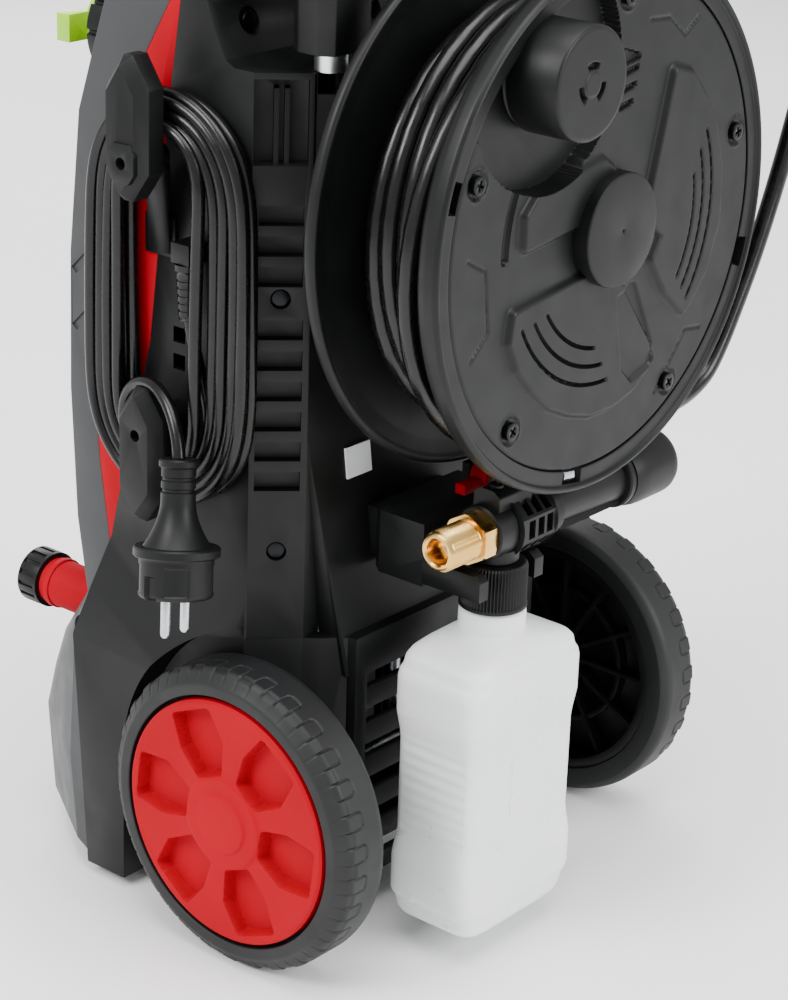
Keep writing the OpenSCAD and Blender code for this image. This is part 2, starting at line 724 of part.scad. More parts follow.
// Body of the lance: mixing chamber with a slotted cage, neck and nozzle tube
module lance_body() color(black) difference() {
  union() {
    cone_x(-64, -7, lance_y, lance_z, 25, 22);
    rod_x(-66, -61, lance_y, lance_z, 32);
    rod_x(-10, 3, lance_y, lance_z, 29);
    rod_x(3, 30, lance_y, lance_z, 33);
    rod_x(30, 45, lance_y, lance_z, 28);
    rod_z(207.4, 215, bottle_x, lance_y, 24);
    along_x(14, 40) polygon([[62, 236], [78, 236], [78, 243], [74, 246], [66, 246], [62, 243]]);
  }
  for (a = [-80 : 40 : 80]) translate([0, lance_y, lance_z]) rotate([a - 90, 0, 0])
    for (x = [6, 18]) box([x, -3, 12], [x + 9, 3, 20]);
  rod_x(-67, 46, lance_y, lance_z, 9);
  for (x = [20, 33]) rod_z(238, 250, x, lance_y, 4);
}

// Brass inlet: hexagon and hollow external thread
module lance_inlet() color(brass) difference() {
  union() {
    translate([45.1, lance_y, lance_z]) rotate([0, 90, 0]) cylinder(h = 10, d = 27, $fn = 6);
    rod_x(55, 55 + thread_len, lance_y, lance_z, 20.4);
  }
  rod_x(44, 55 + thread_len + 1, lance_y, lance_z, 13);
}

// Rotating nozzle sleeve
module lance_nozzle() color(black) difference() {
  union() {
    cone_x(-77, -66.3, lance_y, lance_z, 36, 33);
    rod_x(-103, -77, lance_y, lance_z, 36);
  }
  rod_x(-104, -65, lance_y, lance_z, 12);
  rod_x(-104, -90, lance_y, lance_z, 28);
}

// Bottle: a box body with a waist, a shoulder and a stepped neck
module bottle() color(white) translate([bottle_x, lance_y, 0]) {
  difference() {
    hull() {
      translate([0, 0, 163 - bottle_h]) linear_extrude(0.1) octagon_plate(78, 46, 10);
      translate([0, 0, 170 - bottle_h]) linear_extrude(bottle_h - 12) octagon_plate(90, 57, 12);
      translate([0, 0, 163.9]) linear_extrude(0.1) octagon_plate(70, 40, 10);
    }
    for (s = [-1, 1]) translate([s * 45, 0, 56]) box([-2, -32, 0], [2, 32, 56]);
  }
  translate([0, 0, 160]) cylinder(h = 22.6, r = 17);
  translate([0, 0, 170]) cylinder(h = 20, r = 11);
}

module bottle_cap() color(black) difference() {
  rod_z(183, 207.3, bottle_x, lance_y, 33.6);
  rod_z(182, 191, bottle_x, lance_y, 22.2);
}

// ---------------------------------------------------------------- spray gun

// The gun hangs muzzle down in its holster, with its grip to the rear
module gun_body() color(black) difference() {
  union() {
    along_x(gun_x - 15, gun_x + 15) polygon([[-80, 480], [-52, 480], [-48, 540], [-34, 566],
      [10, 576], [46, 578], [50, 602], [0, 604], [-50, 606], [-74, 592], [-82, 560]]);
    rod_y(48, 56, gun_x, 590, 22);
  }
  along_x(gun_x - 8, gun_x + 8) polygon([[-44, 540], [-30, 560], [24, 572], [24, 592], [-44, 590]]);
  rod_x(gun_x - 12, gun_x + 12, -30, 584, 5);
}

module gun_trigger() color(red) {
  along_x(gun_x - 6, gun_x + 6) polygon([[-34, 578], [-27, 586], [-22, 582], [22, 562], [22, 554],
    [-10, 550], [-28, 560]]);
  rod_x(gun_x - 11.5, gun_x + 11.5, -30, 584, 5 - 2 * fit);
}

module gun_barrel() color(brass) {
  rod_z(440, 479.7, gun_x, -66, 14);
  rod_z(432, 440, gun_x, -66, 20);
}

// Cup on the side of the housing that the muzzle stands in
module gun_holster() color(black) difference() {
  union() {
    rod_z(400, 478, gun_x, -66, 36);
    box([-hw - 8, -84, 410], [-hw, -48, 470]);
  }
  rod_z(408, 480, gun_x, -66, 24);
}

// ---------------------------------------------------------------- all nodes

from_axle() rear_housing();
from_axle() front_cover();
from_axle() lower_front_cover();
from_axle() accent_strips();
from_axle() front_foot();
from_axle() axle();
from_axle() axle_caps();
from_axle() wheel_place(1) tyre();  // left_tyre
from_axle() wheel_place(1) wheel_core();  // left_wheel_core
from_axle() wheel_place(1) wheel_disc();  // left_wheel_disc
from_axle() wheel_place(-1) tyre();  // right_tyre
from_axle() wheel_place(-1) wheel_core();  // right_wheel_core
from_axle() wheel_place(-1) wheel_disc();  // right_wheel_disc
from_axle() motor_stator();
from_axle() motor_end_shields();
from_axle() motor_rotor();
from_axle() motor_fan();
from_axle() pump_wobble_plate();
from_axle() pump_pistons();
from_axle() pump_head();
from_axle() outlet_pipe();
from_axle() capacitor();
from_axle() switch_box();
from_axle() switch_knob();
from_axle() inlet_union();
from_axle() inlet_cap();
from_axle() handle_tubes();
from_axle() handle_grip();
from_axle() handle_button();
from_axle() handle_sleeves();
from_axle() hook_base();
from_axle() hook_plate();
from_axle() lower_hook();
from_axle() cord_gland();
from_axle() cord_lead();
from_axle() cord_hank();
from_axle() cord_tail();
from_axle() plug_body();
from_axle() plug_pins();
from_axle() reel_spindle();
from_axle() reel_rear_flange();
from_axle() reel_front_flange();
from_axle() reel_cover();
from_axle() reel_screws();
from_axle() crank_pin();
from_axle() crank_knob();
from_axle() hose_winding();
from_axle() hose_free();
from_axle() reel_lock();
from_axle() housing_fittings();
from_axle() bottle_holder();
from_axle() lance_body();
from_axle() lance_inlet();
from_axle() lance_nozzle();
from_axle() bottle();
from_axle() bottle_cap();
from_axle() gun_body();
from_axle() gun_trigger();
from_axle() gun_barrel();
from_axle() gun_holster();
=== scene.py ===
"""Looks for an upright pressure washer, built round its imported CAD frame. Metres, +Z up."""
import json
import math
import random

import bmesh
import bpy
import numpy as np
from mathutils import Matrix, Vector
from mathutils.bvhtree import BVHTree


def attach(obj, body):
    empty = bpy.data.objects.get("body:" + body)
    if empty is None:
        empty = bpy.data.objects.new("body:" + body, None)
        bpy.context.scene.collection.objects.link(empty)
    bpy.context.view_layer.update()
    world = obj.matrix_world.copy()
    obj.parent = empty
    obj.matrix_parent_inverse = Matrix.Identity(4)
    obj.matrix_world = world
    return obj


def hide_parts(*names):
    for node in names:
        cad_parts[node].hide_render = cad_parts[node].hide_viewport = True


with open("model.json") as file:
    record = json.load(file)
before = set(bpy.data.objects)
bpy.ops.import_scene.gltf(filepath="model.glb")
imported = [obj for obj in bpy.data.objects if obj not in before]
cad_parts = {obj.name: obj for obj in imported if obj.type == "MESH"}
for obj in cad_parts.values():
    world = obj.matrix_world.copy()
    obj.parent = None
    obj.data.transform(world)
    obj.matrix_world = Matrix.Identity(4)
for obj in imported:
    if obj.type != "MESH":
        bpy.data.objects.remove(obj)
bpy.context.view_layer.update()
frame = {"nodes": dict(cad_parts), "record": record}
MM = 0.001
AXLE_Y = 45 * MM
random.seed(7)


def mm(*numbers):
    """A point given in millimetres in the axle frame, in metres in the row frame."""
    x, y, z = numbers
    return Vector((x * MM, y * MM + AXLE_Y, z * MM))


# ------------------------------------------------------------------ camera and light

CAMERA_AT = mm(1022.75, 813.37, 728.88)
CAMERA_BEARING = math.radians(39.2)
CAMERA_TILT = math.radians(21.7)
CAMERA_ROLL = math.radians(2.0)
CAMERA_LENS = 98.06


def make_camera():
    """The camera above and behind the machine's left rear corner, slightly rolled."""
    camera = bpy.data.objects.new("camera", bpy.data.cameras.new("camera"))
    bpy.context.collection.objects.link(camera)
    camera.data.lens = CAMERA_LENS
    camera.data.sensor_width = 36.0
    camera.data.clip_start = 0.01
    back = Vector((math.cos(CAMERA_TILT) * math.cos(CAMERA_BEARING),
                   math.cos(CAMERA_TILT) * math.sin(CAMERA_BEARING), math.sin(CAMERA_TILT)))
    level = Vector((-math.sin(CAMERA_BEARING), math.cos(CAMERA_BEARING), 0.0))
    right = math.cos(CAMERA_ROLL) * level + math.sin(CAMERA_ROLL) * back.cross(level)
    up = back.cross(right)
    turn = Matrix((right, up, back)).transposed().to_4x4()
    camera.matrix_world = Matrix.Translation(CAMERA_AT) @ turn
    bpy.context.scene.camera = camera


def area_light(name, at, target, size, power):
    """A soft rectangular panel of light that faces a point."""
    lamp = bpy.data.lights.new(name, "AREA")
    lamp.shape = "RECTANGLE"
    lamp.size, lamp.size_y = size
    lamp.energy = power
    holder = bpy.data.objects.new(name, lamp)
    bpy.context.collection.objects.link(holder)
    direction = Vector(target) - Vector(at)
    holder.location = at
    holder.rotation_euler = direction.to_track_quat("-Z", "Y").to_euler()


LIT_POINT = (0.0, 0.0, 0.3)
LIGHTS = [  # name, place, width and height of the panel, watts
    ("key_light", (1.9, -0.5, 1.9), (1.0, 1.0), 56),
    ("rear_light", (-0.5, 2.4, 1.4), (1.3, 1.3), 62),
    ("top_light", (0.2, 0.4, 2.6), (1.8, 1.8), 74),
    ("front_light", (-1.4, -1.8, 1.2), (1.4, 1.4), 24),
]
SKY_STRENGTH = 0.95


def make_lights():
    for name, at, size, power in LIGHTS:
        area_light(name, at, LIT_POINT, size, power)
    world = bpy.data.worlds.new("studio")
    bpy.context.scene.world = world
    world.use_nodes = True
    sky = world.node_tree.nodes["Background"]
    sky.inputs["Color"].default_value = (1.0, 1.0, 1.0, 1.0)
    sky.inputs["Strength"].default_value = SKY_STRENGTH


# ------------------------------------------------------------------ materials

def hex_colour(text):
    """A linear colour from its usual six-digit name."""
    def linear(channel):
        c = channel / 255
        return c / 12.92 if c <= 0.04045 else ((c + 0.055) / 1.055) ** 2.4
    return tuple(linear(int(text[i:i + 2], 16)) for i in (0, 2, 4)) + (1.0,)


class Shader:
    """A material being built round one Principled shader."""

    def __init__(self, name, **sockets):
        self.material = bpy.data.materials.new(name)
        self.material.use_nodes = True
        self.tree = self.material.node_tree
        self.shader = self.tree.nodes["Principled BSDF"]
        self.place = self.add("ShaderNodeTexCoord").outputs["Object"]
        for key, value in sockets.items():
            self.shader.inputs[key.replace("_", " ")].default_value = value

    def add(self, kind, **inputs):
        node = self.tree.nodes.new(kind)
        for key, value in inputs.items():
            node.inputs[key].default_value = value
        return node

    def link(self, source, target):
        self.tree.links.new(source, target)

    def noise(self, scale, detail=3.0, stretch=None):
        node = self.add("ShaderNodeTexNoise", Scale=scale, Detail=detail)
        if stretch is None:
            self.link(self.place, node.inputs["Vector"])
        else:
            mapping = self.add("ShaderNodeMapping", Scale=stretch)
            self.link(self.place, mapping.inputs["Vector"])
            self.link(mapping.outputs["Vector"], node.inputs["Vector"])
        return node.outputs["Fac"]

    def remap(self, source, low, high, start=0.3, end=0.7):
        node = self.add("ShaderNodeMapRange")
        for key, value in (("From Min", start), ("From Max", end), ("To Min", low), ("To Max", high)):
            node.inputs[key].default_value = value
        self.link(source, node.inputs["Value"])
        return node.outputs["Result"]

    def colour(self, source, low, high, start=0.3, end=0.7):
        ramp = self.add("ShaderNodeValToRGB")
        ramp.color_ramp.elements[0].position = start
        ramp.color_ramp.elements[1].position = end
        ramp.color_ramp.elements[0].color = low
        ramp.color_ramp.elements[1].color = high
        self.link(source, ramp.inputs["Fac"])
        self.link(ramp.outputs["Color"], self.shader.inputs["Base Color"])

    def roughness(self, source, low, high):
        self.link(self.remap(source, low, high), self.shader.inputs["Roughness"])

    def bump(self, *layers):
        """layers are (height, distance in metres, strength), from the coarsest to the finest."""
        last = None
        for height, distance, strength in layers:
            node = self.add("ShaderNodeBump", Strength=strength, Distance=distance)
            self.link(height, node.inputs["Height"])
            if last is not None:
                self.link(last, node.inputs["Normal"])
            last = node.outputs["Normal"]
        self.link(last, self.shader.inputs["Normal"])


def moulded(name, dark, light, rough, grain=2600.0, depth=0.00004, wave=0.0006, **sockets):
    """Moulded plastic: a fine eroded grain, slow flow marks and a slightly uneven gloss.

    depth and wave are the heights in metres of the grain and of the slow flow marks."""
    s = Shader(name, **sockets)
    flow = s.noise(14.0, 4.0)
    s.colour(flow, hex_colour(dark), hex_colour(light))
    s.roughness(s.noise(60.0, 5.0), rough - 0.05, rough + 0.06)
    s.bump((s.noise(9.0, 2.0), wave, 0.12), (s.noise(grain, 2.0), depth, 0.35))
    return s.material


def metal(name, dark, light, rough, stretch, **sockets):
    """Turned or drawn metal: fine lines along one direction and a few dull patches."""
    s = Shader(name, Metallic=1.0, **sockets)
    lines = s.noise(700.0, 3.0, stretch)
    s.colour(s.noise(40.0, 4.0), hex_colour(dark), hex_colour(light))
    s.roughness(s.noise(90.0, 4.0), rough - 0.06, rough + 0.1)
    s.bump((lines, 0.00003, 0.3))
    return s.material


def rubber_jacket(name, dark, light, rough):
    """Cord and hose jacket: smooth, with fine die lines and a dusty sheen."""
    s = Shader(name, Specular_IOR_Level=0.34)
    s.colour(s.noise(30.0, 4.0), hex_colour(dark), hex_colour(light))
    s.roughness(s.noise(140.0, 5.0), rough - 0.05, rough + 0.09)
    s.bump((s.noise(900.0, 2.0), 0.00001, 0.2))
    return s.material


def milky_plastic():
    """Blow-moulded natural polyethylene: light goes in and comes out softly."""
    s = Shader("milky_plastic", Subsurface_Weight=0.55, Subsurface_Scale=0.012, IOR=1.5)
    s.shader.inputs["Subsurface Radius"].default_value = (1.0, 1.0, 1.0)
    s.shader.inputs["Transmission Weight"].default_value = 0.12
    s.colour(s.noise(26.0, 3.0), hex_colour("edf0f2"), hex_colour("f7f9fa"))
    s.roughness(s.noise(80.0, 4.0), 0.26, 0.38)
    s.bump((s.noise(26.0, 2.0), 0.0003, 0.15), (s.noise(420.0, 2.0), 0.00002, 0.2))
    return s.material


MATERIALS = {
    "black_plastic": moulded("black_plastic", "070808", "0b0c0c", 0.44, Specular_IOR_Level=0.26),
    "grey_plastic": moulded("grey_plastic", "333436", "37383a", 0.46, Specular_IOR_Level=0.35),
    "red_plastic": moulded("red_plastic", "9e0016", "a8001a", 0.54, grain=900.0, depth=0.00001,
                           wave=0.0001, Specular_IOR_Level=0.05),
    "lime_plastic": moulded("lime_plastic", "8fc70c", "a2d81c", 0.3, grain=900.0, depth=0.00001),
    "white_plastic": moulded("white_plastic", "dcdedf", "e6e8ea", 0.4),
    "tyre_plastic": moulded("tyre_plastic", "0e0f10", "131415", 0.55, grain=1500.0, depth=0.00006,
                            Specular_IOR_Level=0.36),
    "rubber": rubber_jacket("rubber", "050506", "09090a", 0.24),
    "steel": metal("steel", "a9acb0", "c9ccd0", 0.26, (1.0, 1.0, 14.0)),
    "dark_screw": moulded("dark_screw", "17181a", "232427", 0.3, Metallic=0.85),
    "brass": metal("brass", "d6a04a", "ecc67c", 0.22, (14.0, 1.0, 1.0)),
    "aluminium": metal("aluminium", "d4d6d8", "e6e8ea", 0.34, (9.0, 9.0, 0.6)),
    "milky_plastic": milky_plastic(),
}


# ------------------------------------------------------------------ mesh helpers

NODE_BODY = {node: body for body, nodes in frame["record"]["behaviour"]["bodies"].items()
             for node in nodes}
NODE_SLOT = {part["node"]: part["material_slot"] for part in frame["record"]["subparts"]}


def finish_piece(piece, nodes, material=None):
    """Gives a piece its body and its material, by default the one named by its first node's slot, and
    hides the CAD nodes it stands for.
    """
    first = nodes[0]
    name = NODE_SLOT[first]
    piece.data.materials.clear()
    piece.data.materials.append(MATERIALS[material or name])
    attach(piece, NODE_BODY[first])
    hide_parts(*nodes)
    return piece


def smooth_by_angle(mesh, degrees):
    """Smooth shading with the edges sharper than an angle kept crisp."""
    bm = bmesh.new()
    bm.from_mesh(mesh)
    for face in bm.faces:
        face.smooth = True
    for edge in bm.edges:
        edge.smooth = len(edge.link_faces) == 2 and edge.calc_face_angle(0.0) < math.radians(degrees)
    bm.to_mesh(mesh)
    bm.free()


def new_object(name, data):
    piece = bpy.data.objects.new(name, data)
    bpy.context.collection.objects.link(piece)
    return piece


def apply_modifiers(piece):
    """Turns the piece's modifiers into plain mesh."""
    graph = bpy.context.evaluated_depsgraph_get()
    baked = bpy.data.meshes.new_from_object(piece.evaluated_get(graph))
    piece.modifiers.clear()
    piece.data = baked


def cad_copy(name, node, whole_faces=True):
    """A clean copy of a CAD node's mesh, its flat faces whole unless they have holes."""
    bm = bmesh.new()
    bm.from_mesh(frame["nodes"][node].data)
    bmesh.ops.remove_doubles(bm, verts=bm.verts, dist=2e-6)
    if whole_faces:
        flat = math.radians(0.6)
        bmesh.ops.dissolve_limit(bm, angle_limit=flat, verts=bm.verts, edges=bm.edges)
    mesh = bpy.data.meshes.new(name)
    bm.to_mesh(mesh)
    bm.free()
    return new_object(name, mesh)


def rounded(node, width, angle=28.0, segments=2, material=None):
    """A CAD node with its edges rounded, as a moulded or machined part's are."""
    piece = cad_copy(node + "_finish", node, node not in PIERCED)
    bevel = piece.modifiers.new("edge", "BEVEL")
    bevel.width = width * MM
    bevel.segments = segments
    bevel.limit_method = "ANGLE"
    bevel.angle_limit = math.radians(angle)
    bevel.use_clamp_overlap = True
    bevel.miter_outer = "MITER_ARC"
    apply_modifiers(piece)
    smooth_by_angle(piece.data, angle)
    return finish_piece(piece, [node], material)


def fillet(corners, radius, steps=3):
    """A closed outline with its corners rounded off, as far as its edges allow."""
    outline = []
    for i, corner in enumerate(corners):
        before, after = Vector(corners[i - 1]), Vector(corners[(i + 1) % len(corners)])
        middle = Vector(corner)
        back, ahead = before - middle, after - middle
        cut = min(radius, 0.45 * back.length, 0.45 * ahead.length)
        start, end = middle + back.normalized() * cut, middle + ahead.normalized() * cut
        for k in range(steps + 1):
            t = k / steps
            outline.append(tuple((1 - t) ** 2 * start + 2 * t * (1 - t) * middle + t * t * end))
    return outline


def upright(x, y):
    """Places points turned round a vertical axis through (x, y)."""
    return lambda u, v, h: (x + u, y + v, h)


def skin(name, rings, closed=False, angle=32.0):
    """A surface over rings of points in millimetres, capped at both ends unless it is closed."""
    count = len(rings[0])
    points = [mm(*point) for ring in rings for point in ring]
    faces = []
    for i in range(len(rings) if closed else len(rings) - 1):
        low, high = i * count, (i + 1) % len(rings) * count
        for k in range(count):
            after = (k + 1) % count
            faces.append((low + k, low + after, high + after, high + k))
    if not closed:
        faces.append(tuple(range(count)))
        faces.append(tuple(range(len(points) - count, len(points))))
    mesh = bpy.data.meshes.new(name)
    mesh.from_pydata(points, [], faces)
    bm = bmesh.new()
    bm.from_mesh(mesh)
    bmesh.ops.recalc_face_normals(bm, faces=bm.faces)
    bm.to_mesh(mesh)
    bm.free()
    smooth_by_angle(mesh, angle)
    return new_object(name, mesh)


def turned(name, profile, place, steps=96, shape=None, closed=True, angle=32.0):
    """A profile of (radius, height) turned round an axis. shape may move points of the surface."""
    turn = np.linspace(0.0, 2 * math.pi, steps, endpoint=False)
    rings = []
    for radius, height in profile:
        r, h = np.full(steps, float(radius)), np.full(steps, float(height))
        if shape:
            r, h = shape(r, h, turn)
        rings.append([place(*point) for point in zip(r * np.cos(turn), r * np.sin(turn), h)])
    return skin(name, rings, closed, angle)


def polygon_distance(x, y, corners):
    """Distance from points to a polygon's outline, negative inside it."""
    nearest = np.full(np.shape(x), 1e9)
    within = np.zeros(np.shape(x), bool)
    for (x0, y0), (x1, y1) in zip(corners, corners[1:] + corners[:1]):
        dx, dy = x1 - x0, y1 - y0
        t = np.clip(((x - x0) * dx + (y - y0) * dy) / (dx * dx + dy * dy), 0.0, 1.0)
        nearest = np.minimum(nearest, np.hypot(x - x0 - t * dx, y - y0 - t * dy))
        within ^= ((y0 > y) != (y1 > y)) & (x < x0 + (y - y0) * dx / (dy or 1e-9))
    return np.where(within, -nearest, nearest)


def soft_polygon(x, y, corners, rounding):
    """Distance to a polygon whose corners are rounded."""
    middle = np.mean(corners, axis=0)
    size = np.mean(np.linalg.norm(np.array(corners) - middle, axis=1))
    smaller = [tuple(middle + (np.array(c) - middle) * (1 - 1.2 * rounding / size)) for c in corners]
    return polygon_distance(x, y, smaller) - rounding


def line_distance(x, y, points):
    """Distance from points to an open line."""
    nearest = np.full(np.shape(x), 1e9)
    for (x0, y0), (x1, y1) in zip(points, points[1:]):
        dx, dy = x1 - x0, y1 - y0
        t = np.clip(((x - x0) * dx + (y - y0) * dy) / (dx * dx + dy * dy), 0.0, 1.0)
        nearest = np.minimum(nearest, np.hypot(x - x0 - t * dx, y - y0 - t * dy))
    return nearest


def arc_distance(x, y, radius, start, end):
    """Distance from points to an arc round the origin, its ends in degrees."""
    points = [(radius * math.cos(math.radians(start + (end - start) * k / 12)),
               radius * math.sin(math.radians(start + (end - start) * k / 12))) for k in range(13)]
    return line_distance(x, y, points)


def inside(distance, slope):
    """1 inside a shape and 0 outside it, eased over a slope of some millimetres."""
    t = np.clip(0.5 - distance / slope, 0.0, 1.0)
    return t * t * (3 - 2 * t)


# ------------------------------------------------------------------ cords

CORD_D = 6.5
HOSE_D = 10.0
HANK_CENTRE = (-68.0, 329.0)
GLAND_EXIT = (119, -56, 348)
LEAD_ROUTE = [GLAND_EXIT, (119, -56, 340), (119, -55.5, 329), (118.8, -54, 317),
              (118.4, -51.6, 305), (117.8, -48.2, 294), (117, -44.4, 283)]
TAIL_ROUTE = [(128.5, -92.7, 266), (128.8, -89.3, 279), (130, -79.8, 288.5),
              (132.5, -66.8, 292), (136, -54.4, 288.6), (140, -44.4, 280),
              (143.4, -37.6, 270), (145, -36, 262)]
PLUG_AT = Vector((145.0, -36.0, 262.0))
PLUG_TILT = Matrix.Rotation(math.radians(14), 3, Vector((0.632, -0.775, 0.0)))
HOSE_ROUTE = [(0, 64, 262), (-14, 65, 262), (-30, 65, 261), (-48, 65, 258), (-68, 65, 254),
              (-88, 65, 250), (-108, 65, 248), (-126, 65, 248), (-142, 65, 251), (-156, 65, 258),
              (-168, 65, 272), (-180, 65, 291), (-191, 65, 310), (-201, 65, 330),
              (-210, 65, 350), (-217, 66, 372), (-222, 68, 396), (-224, 72, 422),
              (-223, 77, 448), (-219, 83, 474), (-212, 89, 499), (-202, 94, 523),
              (-190, 98, 544), (-176, 98, 561), (-162, 94, 574), (-149, 86, 583),
              (-139, 76, 588), (-133, 66, 590), (-131, 56, 590)]
REEL_Z = 377.0
DRUM_R = 80.0


def smooth_line(points, steps):
    """Catmull-Rom points through a route, a few between each pair."""
    ends = [2 * points[0] - points[1]] + points + [2 * points[-1] - points[-2]]
    line = []
    for i in range(1, len(ends) - 2):
        a, b, c, d = ends[i - 1:i + 3]
        for k in range(steps):
            t = k / steps
            line.append(0.5 * (2 * b + (c - a) * t + (2 * a - 5 * b + 4 * c - d) * t * t
                               + (3 * b - a - 3 * c + d) * t ** 3))
    line.append(points[-1])
    return line


def eased(points, passes):
    """The same line with its corners relaxed, its two ends kept."""
    line = list(points)
    for _ in range(passes):
        middle = [0.25 * a + 0.5 * b + 0.25 * c for a, b, c in zip(line, line[1:], line[2:])]
        line = [line[0]] + middle + [line[-1]]
    return line


def blend_list(values, at):
    """The value between two neighbours of a list, eased."""
    i = min(int(at), len(values) - 2)
    t = min(max(at - i, 0.0), 1.0)
    t = t * t * (3 - 2 * t)
    return values[i] * (1 - t) + values[i + 1] * t


def loop_point(t, width, height):
    """A point round an upright loop with straight sides and round ends, t turns from its side."""
    side, arc = height - width, math.pi * width
    s = (t % 1.0) * (4 * side + 2 * arc)
    if s < side:
        return width, s
    s -= side
    if s < arc:
        return width * math.cos(s / width), side + width * math.sin(s / width)
    s -= arc
    if s < 2 * side:
        return -width, side - s
    s -= 2 * side
    if s < arc:
        return -width * math.cos(s / width), -side - width * math.sin(s / width)
    return width, s - arc - side


def hank_turns():
    """The wound turns of the lead: outwards in the inner layer, then back in the outer one."""
    widths = [25.6, 32.1, 38.6, 45.0, 50.0, 49.8, 44.6, 38.2, 31.9, 25.6]
    heights = [81.5, 87.0, 92.6, 98.0, 102.6, 102.4, 97.6, 92.2, 86.8, 88.5]
    layers = [116.0, 116.0, 116.0, 116.0, 116.0, 122.9, 122.9, 122.9, 122.9, 128.5]
    loose = [random.uniform(-1.0, 1.0) for _ in range(24)]
    first, turns, steps = 0.15, 9.16, 40
    points = []
    for k in range(int(turns * steps) + 1):
        u = k / steps
        width, height = blend_list(widths, u), blend_list(heights, u)
        y, z = loop_point(-u - first, width, height)
        bow = math.cos(0.5 * math.pi * z / height) ** 2
        x = blend_list(layers, u) + 0.5 * math.sin(2.6 * u + 1.0)
        y *= 1 + 0.04 * bow
        y += 1.4 * loose[int(u)] * bow * y / width
        points.append(mm(x, HANK_CENTRE[0] + y, HANK_CENTRE[1] + z))
    return points


def tube_curve(name, points, diameter, sides=6):
    """A round tube along points, as a curve of one spline."""
    curve = bpy.data.curves.new(name, "CURVE")
    curve.dimensions = "3D"
    curve.bevel_depth = diameter * MM / 2
    curve.bevel_resolution = sides
    curve.use_fill_caps = True
    spline = curve.splines.new("POLY")
    spline.points.add(len(points) - 1)
    for point, place in zip(spline.points, points):
        point.co = (*place, 1.0)
    spline.use_smooth = True
    return new_object(name, curve)


def line_length(points):
    """Length of a line of points, in metres."""
    return sum((b - a).length for a, b in zip(points, points[1:]))


def make_mains_lead(plug_pieces):
    """The lead from its gland, wound on the two hooks, to the plug that hangs on it."""
    route = [mm(*p) for p in LEAD_ROUTE]
    route += hank_turns()
    route += [mm(*p) for p in TAIL_ROUTE]
    line = eased(smooth_line(route, 3), 14)
    lead = tube_curve("mains_lead", line, CORD_D)
    finish_piece(lead, ["cord_lead", "cord_hank", "cord_tail"], "rubber")
    line_length(line)
    return lead


def hose_turns():
    """Three full layers on the drum, then half a turn over them, down to the bottom."""
    pitch, layer_step, turns, steps = 10.3, 9.6, 4, 48
    rear, front, leaving = 44.2, 85.4, 64.0
    line = []
    for k in range(3 * turns * steps + steps // 2 + 1):
        along = k / steps
        layer = min(int(along / turns), 3)
        inner = along - layer * turns
        climb = 1 - min(1.0, 3 * inner) if layer else 0
        radius = DRUM_R + 5.5 + layer_step * (layer - climb)
        if layer == 3:
            y = front + (leaving - front) * min(2 * inner, 1.0)
        else:
            y = rear + pitch * (inner if layer % 2 == 0 else turns - inner)
        angle = 0.5 * math.pi - 2 * math.pi * along
        line.append(mm(radius * math.cos(angle), y, REEL_Z + radius * math.sin(angle)))
    return line


def make_hose():
    """The hose in two lengths: wound on the reel, and from the reel to the gun."""
    line = hose_turns()
    wound = tube_curve("hose_wound", line, HOSE_D)
    finish_piece(wound, ["hose_winding"], "rubber")
    line_length(line)
    free_line = smooth_line([mm(*p) for p in HOSE_ROUTE], 4)
    free = tube_curve("hose_to_gun", free_line, HOSE_D)
    finish_piece(free, ["hose_free"], "rubber")
    line_length(free_line)


def on_plug(u, v, h):
    """A point of the plug: u and v across it, h along it, 0 where the cord goes in."""
    return tuple(PLUG_AT + PLUG_TILT @ Vector((u, v, h)))


def make_plug():
    """The moulded plug and its two pins; they hang on the end of the mains lead."""
    flare = [(8.5 + 8.0 * (k / 12) ** 1.8, -20.5 - 21.5 * k / 12) for k in range(13)]
    top = [(3.4, 0.0), (8.9, 0.0), (9.7, -0.8), (9.7, -3.4), (9.2, -4.0), (8.4, -4.3), (8.4, -8.4),
           (7.7, -8.9), (7.7, -10.1), (8.4, -10.6), (8.4, -14.0), (7.7, -14.5), (7.7, -15.7),
           (8.5, -16.2)]
    body = [(20.4, -42.2), (21.2, -43.0), (21.2, -46.4), (20.6, -47.1), (18.6, -47.4),
            (18.3, -48.2)] + [(18.3, -49.0 - 0.8 * k) for k in range(21)]
    face = [(18.0, -66.2), (17.2, -67.0), (0.5, -67.0)]

    def grips(r, h, turn):
        """A shallow flat on each side of the body and a notch in its lower edge."""
        away = np.abs((turn + 0.5 * math.pi) % math.pi - 0.5 * math.pi)
        low = (h < -48.6) * (r > 17.9)
        notch = inside(away * 18.3 - 3.4, 0.5) * (h < -55.5)
        panel = inside(np.abs(away * 18.3 - 14.0) - 6.0, 0.8) * (h < -51.0) * (h > -64.5)
        return r - low * (1.7 * notch + 0.5 * panel), h
    shell = turned("plug_shell", top + flare + body + face, on_plug, 240, grips, closed=False)
    pieces = [finish_piece(shell, ["plug_body"])]
    profile = [(0.3, -86.0), (1.3, -85.8), (2.0, -85.1), (2.4, -84.0), (2.4, -66.8), (0.3, -66.8)]
    for side in (1, -1):
        def place(u, v, h, across=9.5 * side):
            return on_plug(0.968 * across + u, 0.248 * across + v, h)
        pin = turned("plug_pin", profile, place, 48, closed=False)
        pieces.append(finish_piece(pin, ["plug_pins"]))
    return pieces


